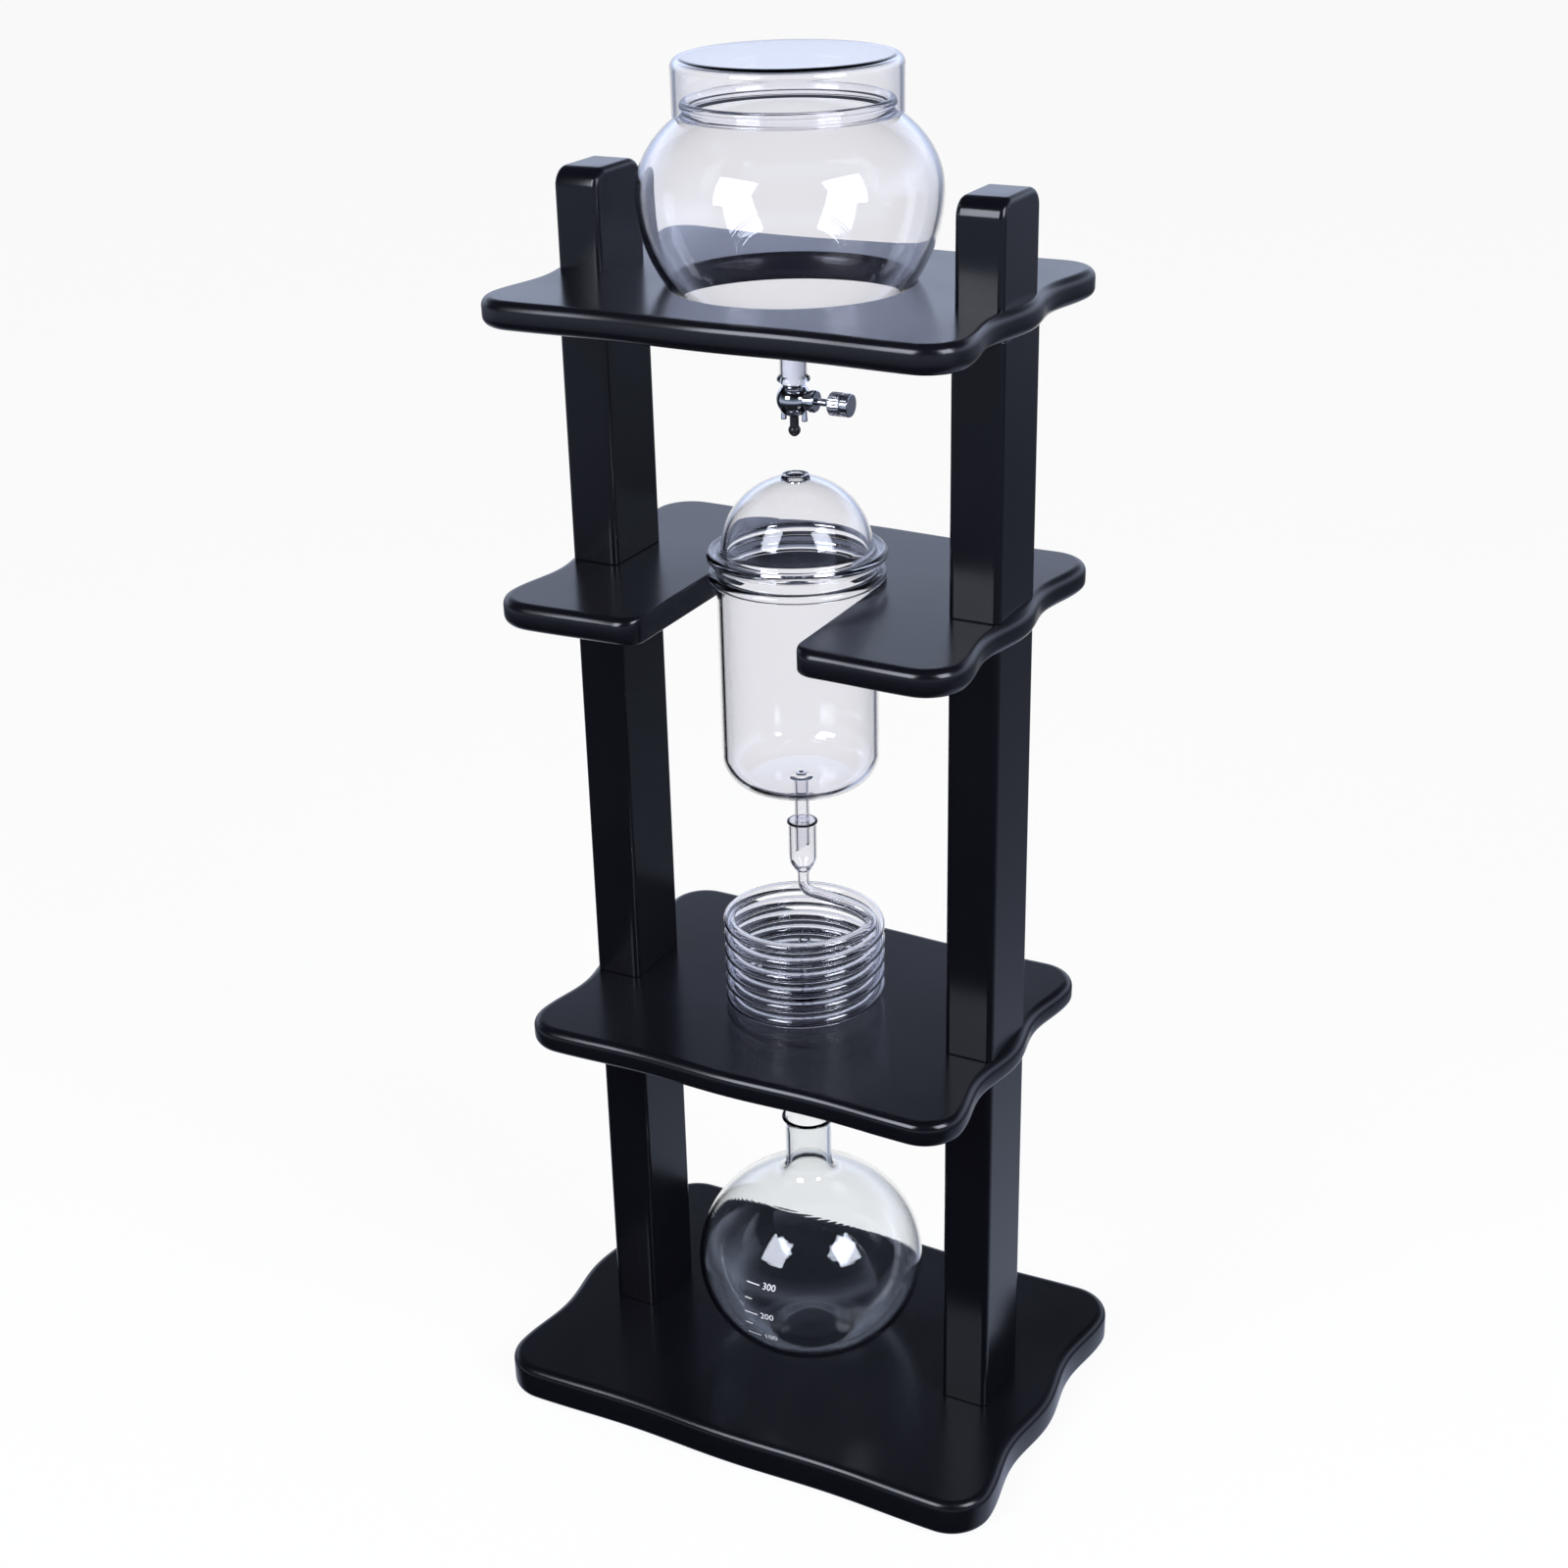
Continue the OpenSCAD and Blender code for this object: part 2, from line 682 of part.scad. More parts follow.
module stem_seal() {
    color("#202124") along_x(boss_reach - seal_t) difference() {
        cylinder(r = seal_r, h = seal_t - snug);
        translate([0, 0, -past]) cylinder(r = needle_r + needle_clear, h = seal_t + 2 * past);
    }
}

module gland_nut() {
    color("#c9ccd2") along_x(boss_reach) difference() {
        cylinder(r = gland_r, h = gland_t);
        translate([0, 0, -past]) cylinder(r = needle_r + needle_clear, h = gland_t + 2 * past);
    }
}

// Needle: its point crosses the water way when the valve is shut
module valve_needle() {
    tip = -needle_past - water_way_r;
    color("#b4b6ba") along_x(tip) {
        cylinder(r1 = needle_r / 4, r2 = needle_r, h = needle_point);
        translate([0, 0, needle_point]) cylinder(r = needle_r, h = stem_start - tip - needle_point);
    }
}

// Stem and knob in one, turned about X
module valve_knob() {
    cone = knob_start - stem_start;
    grip = cone + knob_cone;
    groove = grip + knob_grip;
    disc = groove + knob_groove;
    end = disc + knob_disc;
    groove_depth = 0.7;
    groove_r = knob_r - groove_depth;
    edge = 0.6;
    color("#c9ccd2") along_x(stem_start) rotate_extrude($fn = 48) polygon(concat(
        [[0, 0], [needle_r, 0], [needle_r, cone], [knob_r, grip], [knob_r, groove]],
        [[groove_r, groove], [groove_r, disc], [knob_r, disc]],
        arc([knob_r - edge, end - edge], [edge, edge], 0, 90, short_steps),
        [[0, end]]
    ));
}

// ---- brew chamber and dome ----

module brew_chamber() {
    corner_r = chamber_r - chamber_corner;
    corner_z = chamber_floor_z + chamber_corner;
    inner_r = chamber_r - chamber_wall;
    inner_corner = chamber_corner - chamber_wall;
    flange_half = flange_t / 2;
    lip = chamber_wall / 2;
    fillet = 3;
    floor_top = chamber_floor_z + chamber_wall;
    cutter = 8 * drip_tube_r;
    outside = concat(
        [[drip_tube_r, drip_end_z]],
        bend([drip_tube_r, chamber_floor_z - fillet], [drip_tube_r, chamber_floor_z],
            [drip_tube_r + fillet, chamber_floor_z], short_steps),
        arc([corner_r, corner_z], [chamber_corner, chamber_corner], -90, 0, mid_steps),
        [[chamber_r, flange_z]],
        arc([flange_r - flange_half, flange_z + flange_half], [flange_half, flange_half],
            -90, 90, mid_steps),
        [[chamber_r, flange_z + flange_t]],
        arc([chamber_r - lip, mouth_z - lip], [lip, lip], 0, 180, mid_steps)
    );
    inside = concat(
        arc([corner_r, corner_z], [inner_corner, inner_corner], 0, -90, mid_steps),
        bend([drip_bore_r + fillet, floor_top], [drip_bore_r, floor_top],
            [drip_bore_r, floor_top - fillet], short_steps),
        [[drip_bore_r, drip_end_z]]
    );
    color("#e2e5ef", 0.4) difference() {
        rotate_extrude($fn = 96) polygon(concat(outside, inside));
        translate([-drip_tube_r, 0, drip_end_z]) rotate([0, -drip_slope, 0])
            translate([0, 0, -cutter / 2]) cube(cutter, center = true);
    }
}

module drip_dome() {
    flange_half = dome_flange_t / 2;
    flange_top = dome_flange_z + dome_flange_t;
    fillet = 2;
    spring = asin((flange_top + fillet - dome_z) / dome_r);
    collar = acos(dome_collar_r / dome_r);
    collar_top = dome_z + sqrt(pow(dome_r, 2) - pow(dome_collar_r, 2)) + dome_collar_h;
    edge = 0.5;
    inner_r = dome_r - chamber_wall;
    inner_collar_r = dome_hole_r + 1;
    collar_foot_z = collar_top - dome_collar_h - chamber_wall;
    outside = concat(
        [[inner_r, dome_flange_z]],
        arc([dome_flange_r - flange_half, dome_flange_z + flange_half], [flange_half, flange_half],
            -90, 90, mid_steps),
        bend([dome_r + fillet, flange_top], [dome_r, flange_top],
            [dome_r * cos(spring), flange_top + fillet], short_steps),
        arc([0, dome_z], [dome_r, dome_r], spring + skip, collar, long_steps),
        arc([dome_collar_r - edge, collar_top - edge], [edge, edge], 0, 90, short_steps),
        arc([dome_hole_r + edge, collar_top - edge], [edge, edge], 90, 180, short_steps)
    );
    inside = concat(
        [[dome_hole_r, collar_foot_z]],
        arc([0, dome_z], [inner_r, inner_r], acos(inner_collar_r / inner_r), 0, long_steps)
    );
    color("#e2e5ef", 0.4) rotate_extrude($fn = 96) polygon(concat(outside, inside));
}

// ---- glass coil ----

// Middle line of the coiled tube: a bend, a sloping curve out from the axis, the turns, and a
// level curve back in
entry_end = coil_entry - entry_sweep;
turns_end = entry_end - 360 * coil_turns;
coil_drop = coil_top_z - coil_low_z;
coil_path = concat(
    [
        for (i = [0 : bend_steps])
            let (
                turn = (90 - entry_slope) * i / bend_steps,
                r = entry_bend * (1 - cos(turn))
            )
                [r * cos(coil_entry), r * sin(coil_entry), coil_start_z - entry_bend * sin(turn)]
    ],
    [
        for (i = [1 : entry_steps])
            let (
                t = i / entry_steps,
                r = entry_r + (coil_r - entry_r) * sin(90 * t),
                a = coil_entry - entry_sweep * pow(t, 2)
            )
                [r * cos(a), r * sin(a), entry_z - (r - entry_r) * tan(entry_slope)]
    ],
    [
        for (i = [1 : turn_steps * coil_turns])
            let (
                t = i / (turn_steps * coil_turns),
                a = entry_end - 360 * coil_turns * t
            )
                [coil_r * cos(a), coil_r * sin(a), coil_top_z - coil_drop * t]
    ],
    [
        for (i = [1 : exit_steps])
            let (
                t = i / exit_steps,
                r = tube_r + (coil_r - tube_r) * cos(90 * t),
                a = turns_end - exit_sweep * t
            )
                [r * cos(a), r * sin(a), coil_low_z]
    ]
);

function heading(path, i) = unit(path[min(i + 1, len(path) - 1)] - path[max(i - 1, 0)]);

function square_to(v, direction) = unit(v - direction * (v * direction));

// Round tube swept along a path, with an outer and an inner wall and open ends
module swept_tube(path, outer, inner) {
    count = len(path);
    headings = [for (i = [0 : count - 1]) i == 0 ? [0, 0, -1] : heading(path, i)];
    sides = [
        for (i = 0, v = square_to([cos(coil_entry), sin(coil_entry), 0], headings[0]);
            i < count;
            i = i + 1, v = square_to(v, headings[min(i, count - 1)])) v
    ];
    points = [
        for (r = [outer, inner])
            for (i = [0 : count - 1])
                for (j = [0 : tube_sides - 1])
                    let (
                        a = 360 * j / tube_sides,
                        up = cross(headings[i], sides[i])
                    )
                        path[i] + r * (cos(a) * sides[i] + sin(a) * up)
    ];
    within = count * tube_sides;
    outer_wall = [
        for (i = [0 : count - 2])
            for (j = [0 : tube_sides - 1])
                let (
                    a = i * tube_sides + j,
                    b = i * tube_sides + (j + 1) % tube_sides
                )
                    each [[a, a + tube_sides, b + tube_sides], [a, b + tube_sides, b]]
    ];
    inner_wall = [for (f = outer_wall) [f[0] + within, f[2] + within, f[1] + within]];
    ends = [
        for (i = [0, count - 1])
            for (j = [0 : tube_sides - 1])
                let (
                    a = i * tube_sides + j,
                    b = i * tube_sides + (j + 1) % tube_sides,
                    ring = [[a, b, b + within], [a, b + within, a + within]]
                )
                    each i == 0 ? ring : [for (f = ring) [f[0], f[2], f[1]]]
    ];
    polyhedron(points, concat(outer_wall, inner_wall, ends));
}

module coil_funnel() {
    body_foot_z = funnel_rim_z - funnel_h;
    bore = funnel_r - funnel_wall;
    flare_h = 2.2;
    lip = funnel_wall / 2;
    stem_out = 0.6;
    stem_end_z = funnel_foot_z + 2 * stem_out;
    cheek_z = body_foot_z - 0.4 * funnel_taper;
    outside = concat(
        [[tube_r, coil_start_z], [tube_r, funnel_foot_z]],
        bend([tube_r + stem_out, stem_end_z], [funnel_r, cheek_z], [funnel_r, body_foot_z], mid_steps),
        bend([funnel_r, funnel_rim_z - flare_h], [funnel_r, funnel_rim_z - flare_h / 2],
            [funnel_rim_r, funnel_rim_z - lip], short_steps),
        arc([funnel_rim_r - lip, funnel_rim_z - lip], [lip, lip], 30, 180, mid_steps)
    );
    inside = concat(
        [[bore, funnel_rim_z - flare_h]],
        bend([bore, body_foot_z], [bore, cheek_z], [tube_bore_r, stem_end_z], mid_steps),
        [[tube_bore_r, coil_start_z]]
    );
    color("#e2e5ef", 0.4) rotate_extrude($fn = 48) polygon(concat(outside, inside));
}

module coil_turns_tube() {
    color("#e2e5ef", 0.4) swept_tube(coil_path, tube_r, tube_bore_r);
}

module coil_down_tube() {
    length = tail_rise + tail_drop;
    color("#e2e5ef", 0.4) translate([0, 0, lower_shelf_top - tail_drop]) difference() {
        cylinder(r = tube_r, h = length);
        translate([0, 0, -past]) cylinder(r = tube_bore_r, h = length + 2 * past);
    }
}

// ---- flask ----

module flask() {
    foot = acos(flask_foot_r / flask_r);
    fillet = 5;
    fillet_h = 8;
    fillet_r = flask_neck_r + fillet;
    shoulder = acos(fillet_r / flask_r);
    shoulder_z = flask_z + flask_half_h * sin(shoulder);
    mouth_top = flask_z + flask_neck_h;
    inner_r = flask_r - flask_wall;
    inner_half_h = flask_half_h - flask_wall;
    inner_neck_r = flask_neck_r - flask_wall;
    lip = flask_wall / 2;
    flare_h = 6;
    neck_foot_z = shoulder_z + fillet_h;
    foot_z = flask_z - flask_half_h * sin(foot);
    floor_z = foot_z + flask_wall;
    floor_angle = asin((flask_z - floor_z) / inner_half_h);
    inner_shoulder = acos((fillet_r - lip) / inner_r);
    outside = concat(
        [[0, foot_z]],
        arc([0, flask_z], [flask_r, flask_half_h], -foot, shoulder - skip, long_steps + mid_steps),
        bend([fillet_r, shoulder_z], [flask_neck_r, shoulder_z + fillet_h / 4],
            [flask_neck_r, neck_foot_z], mid_steps),
        bend([flask_neck_r, mouth_top - flare_h], [flask_neck_r, mouth_top - flare_h / 2],
            [flask_rim_r, mouth_top - lip], short_steps),
        arc([flask_rim_r - lip, mouth_top - lip], [lip, lip], 20, 180, mid_steps)
    );
    inside = concat(
        [[inner_neck_r, mouth_top - flare_h], [inner_neck_r, neck_foot_z]],
        arc([0, flask_z], [inner_r, inner_half_h], inner_shoulder, -floor_angle, long_steps + mid_steps),
        [[0, floor_z]]
    );
    color("#e2e8ea", 0.4) rotate_extrude($fn = 96) polygon(concat(outside, inside));
}

base_board();
lower_shelf();
middle_shelf();
top_shelf();
left_lower_post();
right_lower_post();
left_middle_post();
right_middle_post();
left_upper_post();
right_upper_post();
left_finial();
right_finial();
left_tie_rod();
right_tie_rod();
rod_nuts();
rod_washers();
finial_inserts();
water_globe();
globe_lid();
outlet_sleeve();
valve_body();
valve_nozzle();
stem_seal();
gland_nut();
valve_needle();
valve_knob();
drip_dome();
brew_chamber();
coil_funnel();
coil_turns_tube();
coil_down_tube();
flask();
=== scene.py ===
import math

import bmesh
import bpy
import numpy as np
from mathutils import Matrix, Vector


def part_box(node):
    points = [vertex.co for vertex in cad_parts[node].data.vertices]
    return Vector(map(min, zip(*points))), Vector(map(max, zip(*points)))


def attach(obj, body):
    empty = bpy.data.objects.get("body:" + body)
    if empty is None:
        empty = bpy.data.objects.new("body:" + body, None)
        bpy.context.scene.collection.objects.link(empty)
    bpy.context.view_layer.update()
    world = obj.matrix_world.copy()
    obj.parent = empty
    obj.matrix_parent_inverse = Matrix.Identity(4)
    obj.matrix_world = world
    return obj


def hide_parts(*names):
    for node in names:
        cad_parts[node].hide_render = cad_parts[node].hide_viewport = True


# Cold-drip coffee tower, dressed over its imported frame. Lengths are millimetres until a mesh is
# made, X runs to the right, Z up, and the open side of the middle shelf faces -Y.

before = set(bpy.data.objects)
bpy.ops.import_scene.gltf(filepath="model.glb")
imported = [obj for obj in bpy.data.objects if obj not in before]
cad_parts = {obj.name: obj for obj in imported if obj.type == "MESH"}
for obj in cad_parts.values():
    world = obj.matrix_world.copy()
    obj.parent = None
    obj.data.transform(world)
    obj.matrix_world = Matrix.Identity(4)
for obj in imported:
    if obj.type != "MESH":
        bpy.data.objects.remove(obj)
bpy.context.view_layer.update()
metre = 0.001
weld = 1e-6  # metres within which two points of a mesh become one
crease = 38  # degrees beyond which an edge stays sharp
restGap = 0.3  # air under a piece that lifts off its seat
quarter = np.radians(np.linspace(0, 90, 9))  # angles of a small quarter circle
left, right = -1, 1


def corners(node):
    # lowest and highest corner of a node at rest
    low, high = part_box(node)
    return np.array(low) / metre, np.array(high) / metre


# a profile is rows of (radius, height), and a grid of points becomes a mesh

def arcPoints(centre, radii, fromDeg, toDeg, steps):
    # centre plus one or two radii times the cosine and sine of an angle that runs from one to another
    wide, high = np.broadcast_to(radii, 2)
    a = np.radians(np.linspace(fromDeg, toDeg, steps + 1))
    return np.column_stack([centre[0] + wide * np.cos(a), centre[1] + high * np.sin(a)])


def bendPoints(start, corner, end, steps):
    # start (1-t)^2 + corner 2t(1-t) + end t^2, a curve that leaves and arrives along straight lines
    t = np.linspace(0, 1, steps + 1)[:, None]
    return np.array(start) * (1 - t) ** 2 + np.array(corner) * 2 * t * (1 - t) + np.array(end) * t ** 2


def angleAt(across, radius):
    # degrees up a circle where it is this far across, by the cosine across / radius
    return math.degrees(math.acos(across / radius))


def heightAt(across, radius):
    # height of a circle at a distance from its axis: the root of radius^2 - across^2
    return math.sqrt(radius ** 2 - across ** 2)


def pointAt(middleZ, radii, deg):
    # a point of an upright ellipse whose middle is on the axis
    a = math.radians(deg)
    return radii[0] * math.cos(a), middleZ + radii[1] * math.sin(a)


def eased(profile, margin=0.3, longest=1.5):
    # a long straight stretch gets a point near both ends, so that smooth shading bends only there
    step = np.diff(profile, axis=0)
    length = np.linalg.norm(step, axis=1)
    share = (margin / np.maximum(length, margin))[:, None]
    points = np.stack([profile[:-1], profile[:-1] + step * share, profile[1:] - step * share], axis=1)
    isLong = length > longest
    keep = np.stack([length > 1e-6, isLong, isLong], axis=1)
    return np.vstack([points[keep], profile[-1:]])


def easedLoop(profile):
    return eased(np.vstack([profile, profile[:1]]))[:-1]


def spun(profile, sides=144):
    # a profile point (radius, height) goes round the upright axis in equal steps of angle
    a = np.linspace(0, 2 * np.pi, sides, endpoint=False)
    radius, height = profile[:, :1], profile[:, 1:]
    return np.stack([radius * np.cos(a), radius * np.sin(a), height + 0 * a], axis=-1)


def laidAlongX(grid, start, height):
    # a quarter turn about Y: what stood up along Z now runs along X
    return np.stack([start + grid[..., 2], grid[..., 1], height - grid[..., 0]], axis=-1)


def drawnIn(outline, outward, rows):
    # each row is the outline moved inwards by its inset at its height: point - inset * outward
    inset = np.array([row[0] for row in rows], dtype=object)
    flat = np.stack([outline - np.asarray(i).reshape(-1, 1) * outward for i in inset])
    lift = np.stack([np.zeros(len(outline)) + row[1] for row in rows])
    return np.concatenate([flat, lift[..., None]], axis=-1)


def solid(grid, looped=False, capped=False):
    # quads between neighbouring rows and columns of a grid; the last column meets the first
    rows, cols = grid.shape[:2]
    i = np.arange(rows if looped else rows - 1)[:, None]
    j = np.arange(cols)[None, :]
    here, above, beside = i * cols, (i + 1) % rows * cols, (j + 1) % cols
    faces = np.stack([here + j, here + beside, above + beside, above + j], axis=-1)
    faces = faces.reshape(-1, 4).tolist()
    if capped:
        faces.append(list(range(cols))[::-1])
        faces.append(list(range((rows - 1) * cols, rows * cols)))
    return grid.reshape(-1, 3), faces


def weldedMesh(name, points, faces, looks):
    mesh = bpy.data.meshes.new(name)
    mesh.from_pydata((points * metre).tolist(), [], faces)
    mesh.polygons.foreach_set("material_index", looks)
    work = bmesh.new()
    work.from_mesh(mesh)
    bmesh.ops.remove_doubles(work, verts=work.verts, dist=weld)
    work.to_mesh(mesh)
    work.free()
    return mesh


def placed(name, data):
    thing = bpy.data.objects.new(name, data)
    bpy.context.scene.collection.objects.link(thing)
    return thing


def addPiece(name, solids, finish, body, nodes, castsShadow=True):
    # solids is a list of (points, faces) or (points, faces, number of its finish)
    points, faces, looks, first = [], [], [], 0
    for part in solids:
        points.append(part[0])
        faces += [[first + v for v in face] for face in part[1]]
        looks += [part[2] if len(part) > 2 else 0] * len(part[1])
        first += len(part[0])
    mesh = weldedMesh(name, np.vstack(points), faces, looks)
    for material in finish if isinstance(finish, list) else [finish]:
        mesh.materials.append(material)
    mesh.shade_smooth()
    mesh.set_sharp_from_angle(angle=math.radians(crease))
    piece = placed(name, mesh)
    piece.visible_shadow = castsShadow
    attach(piece, body)
    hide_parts(*nodes)
    return piece


def startMaterial(name, colour, roughness, metallic=0.0):
    material = bpy.data.materials.new(name)
    material.use_nodes = True
    shader = material.node_tree.nodes["Principled BSDF"]
    shader.inputs["Base Color"].default_value = (*colour, 1)
    shader.inputs["Roughness"].default_value = roughness
    shader.inputs["Metallic"].default_value = metallic
    return material, shader


def stretchedNoise(material, stretch, detail=3.0):
    # noise on Object coordinates, drawn out along one axis by a smaller scale there
    nodes, links = material.node_tree.nodes, material.node_tree.links
    place = nodes.new("ShaderNodeTexCoord")
    mapping = nodes.new("ShaderNodeMapping")
    noise = nodes.new("ShaderNodeTexNoise")
    mapping.inputs["Scale"].default_value = stretch
    noise.inputs["Scale"].default_value = 1.0
    noise.inputs["Detail"].default_value = detail
    links.new(place.outputs["Object"], mapping.inputs["Vector"])
    links.new(mapping.outputs["Vector"], noise.inputs["Vector"])
    return noise.outputs["Fac"]


noiseMiddle = (0.3, 0.7)  # most values of a noise lie between these


def wear(material, shader, source, low, high):
    # the roughness goes from low to high along the middle of a noise
    node = material.node_tree.nodes.new("ShaderNodeMapRange")
    node.inputs["From Min"].default_value, node.inputs["From Max"].default_value = noiseMiddle
    node.inputs["To Min"].default_value = low
    node.inputs["To Max"].default_value = high
    material.node_tree.links.new(source, node.inputs["Value"])
    material.node_tree.links.new(node.outputs["Result"], shader.inputs["Roughness"])


def mixed(tree, factor, first, second):
    # first and second are a colour or the output of another node
    node = tree.nodes.new("ShaderNodeMix")
    node.data_type = "RGBA"
    for socket, value in (("A", first), ("B", second)):
        if isinstance(value, tuple):
            node.inputs[socket].default_value = (*value, 1)
        else:
            tree.links.new(value, node.inputs[socket])
    tree.links.new(factor, node.inputs["Factor"])
    return node.outputs["Result"]


def vary(material, shader, source, first, second):
    # the colour goes from the first to the second along a noise
    colour = mixed(material.node_tree, source, first, second)
    material.node_tree.links.new(colour, shader.inputs["Base Color"])


def roughen(material, shader, source, depth, strength=1.0):
    # height from a noise, depth in metres
    bump = material.node_tree.nodes.new("ShaderNodeBump")
    bump.inputs["Distance"].default_value = depth
    bump.inputs["Strength"].default_value = strength
    material.node_tree.links.new(source, bump.inputs["Height"])
    material.node_tree.links.new(bump.outputs["Normal"], shader.inputs["Normal"])


paint = {
    "colour": (0.0022, 0.0022, 0.004),  # satin black with a cool cast
    "worn": (0.004, 0.004, 0.0065),
    "grainAcross": 420.0,  # grain lines per metre across the board
    "grainAlong": 9.0,
    "grainDepth": 0.00002,
    "cloud": 14.0,  # soft patches per metre
    "smoother": 0.03, "rougher": 0.04,  # how far the patches change the roughness
}
glass = {"ior": 1.47, "waves": (22.0, 22.0, 12.0), "waveDepth": 0.0002, "waveStrength": 0.03}
metalLines = {"depth": 0.000004, "smoother": 0.7, "rougher": 1.5}  # fine lines on metal
plastic = {"cloud": 90.0, "uneven": 0.05}


def blackPaint(name, along, roughness, gloss):
    # along is 0 where the grain runs in X and 2 where it runs in Z
    material, shader = startMaterial(name, paint["colour"], roughness)
    stretch = [paint["grainAcross"]] * 3
    stretch[along] = paint["grainAlong"]
    grain = stretchedNoise(material, stretch, 4.0)
    cloud = stretchedNoise(material, (paint["cloud"],) * 3)
    vary(material, shader, cloud, paint["colour"], paint["worn"])
    wear(material, shader, cloud, roughness - paint["smoother"], roughness + paint["rougher"])
    shader.inputs["Specular IOR Level"].default_value = gloss
    roughen(material, shader, grain, paint["grainDepth"])
    return material


def blownGlass(name, tint):
    # clear glass whose wall waves very slightly
    material, shader = startMaterial(name, tint, 0.0)
    shader.inputs["Transmission Weight"].default_value = 1.0
    shader.inputs["IOR"].default_value = glass["ior"]
    waves = stretchedNoise(material, glass["waves"], 1.0)
    roughen(material, shader, waves, glass["waveDepth"], glass["waveStrength"])
    return material


def metal(name, colour, roughness, stretch):
    # fine drawn lines in the roughness and the height
    material, shader = startMaterial(name, colour, roughness, 1.0)
    lines = stretchedNoise(material, stretch, 5.0)
    wear(material, shader, lines, roughness * metalLines["smoother"], roughness * metalLines["rougher"])
    roughen(material, shader, lines, metalLines["depth"])
    return material


def softPlastic(name, colour, shade, roughness, grainSize, depth):
    # even colour that clouds towards a second shade, with a fine skin
    material, shader = startMaterial(name, colour, roughness)
    cloud = stretchedNoise(material, (plastic["cloud"],) * 3)
    skin = stretchedNoise(material, (grainSize,) * 3, 2.0)
    vary(material, shader, cloud, colour, shade)
    wear(material, shader, skin, roughness - plastic["uneven"], roughness + plastic["uneven"])
    roughen(material, shader, skin, depth)
    return material


basePaint = blackPaint("base_black", 0, 0.21, 0.45)
shelfPaint = blackPaint("shelf_black", 0, 0.20, 0.5)
postPaint = blackPaint("post_black", 2, 0.18, 0.40)
clearGlass = blownGlass("clear_glass", (0.962, 0.96, 0.985))
flaskGlass = blownGlass("flask_glass", (0.955, 0.968, 0.975))
chrome = metal("valve_chrome", (0.78, 0.79, 0.82), 0.09, (60.0, 900.0, 900.0))
drawnSteel = metal("drawn_steel", (0.56, 0.57, 0.60), 0.26, (900.0, 900.0, 40.0))
brass = metal("turned_brass", (0.78, 0.57, 0.25), 0.24, (900.0, 900.0, 1800.0))
silicone = softPlastic("white_silicone", (0.80, 0.81, 0.85), (0.72, 0.73, 0.78), 0.5, 1800.0, 0.000006)
nozzlePlastic = softPlastic("dark_nozzle", (0.012, 0.012, 0.015), (0.022, 0.022, 0.026),
                            0.22, 1500.0, 0.000004)
sealRubber = softPlastic("seal_rubber", (0.016, 0.016, 0.017), (0.026, 0.026, 0.027),
                         0.7, 2400.0, 0.00001)
enamel = softPlastic("white_enamel", (0.86, 0.86, 0.86), (0.80, 0.80, 0.81), 0.45, 2600.0, 0.000004)
print("finishes made")


def addClearPiece(name, solids, body, nodes):
    # light goes through clear glass, so it casts no shadow of its own
    addPiece(name, solids, clearGlass, body, nodes, castsShadow=False)


boards = {
    "baseCorner": 20, "shelfCorner": 18,  # corner radii
    "sideDip": 4, "frontDip": 1.5,  # how far the edges wave inwards
    "edge": 4,  # rounding of the edges
    "slotEdge": 1.0,  # rounding along the slot
    "slotHalf": 36.5, "slotRound": 9,
    "globeHole": 50, "seatBevel": 2, "tailHole": 7,
    "recess": 10, "recessDepth": 9,  # under the base, for the rod nuts
    "sidePoints": 44, "cornerPoints": 14, "wallPoints": 8,
    "flat": 0.6,  # flat strip next to a rounded edge
}


def edgeWave(s, dip):
    # nothing at both ends and in the middle of a side, the whole dip between them
    return dip * (1 - np.cos(2 * np.pi * s)) / 2


def sideRun(reach, run, dip, turn, fromShare=-1.0, toShare=1.0):
    # a side lies at its reach less the wave, turned about the middle; its ends belong to the corners
    s = np.linspace(fromShare, toShare, boards["sidePoints"] + 2)[1:-1]
    out, along = reach - edgeWave(s, dip), s * run
    c, t = math.cos(math.radians(turn)), math.sin(math.radians(turn))
    points = np.column_stack([out * c - along * t, out * t + along * c])
    return points, np.tile([round(c), round(t)], (len(s), 1))


def cornerRun(centre, radius, fromDeg, toDeg, inward=False):
    # a quarter circle; outward is its own direction, or the opposite on an inside corner
    points = arcPoints(centre, radius, fromDeg, toDeg, boards["cornerPoints"])
    outward = (points - np.array(centre)) / radius
    return points, -outward if inward else outward


def cornered(runX, runY, radius, sides):
    # each of four sides is followed by a quarter circle, anticlockwise from the right side
    runs = []
    for k, (x, y) in enumerate(((1, 1), (-1, 1), (-1, -1), (1, -1))):
        runs += [sides[k], cornerRun((x * runX, y * runY), radius, 90 * k, 90 * k + 90)]
    return runs


def boardOutline(halfW, halfD, corner):
    runX, runY = halfW - corner, halfD - corner
    across, along = (halfW, runY, boards["sideDip"]), (halfD, runX, boards["frontDip"])
    sides = [sideRun(*across, 0), sideRun(*along, 90), sideRun(*across, 180), sideRun(*along, 270)]
    return cornered(runX, runY, corner, sides)


def joined(runs):
    return np.vstack([run[0] for run in runs]), np.vstack([run[1] for run in runs])


def edgeRows(low, high, radius):
    # a quarter circle in from the lower face, the wall, and a quarter circle to the upper face
    inset = [radius * (1 - v) for v in np.sin(quarter)]
    rise = [radius * (1 - v) for v in np.cos(quarter)]
    last = radius + boards["flat"]
    lower = [(last, low)] + [(i, low + z) for i, z in zip(inset, rise)]
    upper = [(i, high - z) for i, z in zip(inset[::-1], rise[::-1])] + [(last, high)]
    return lower + upper


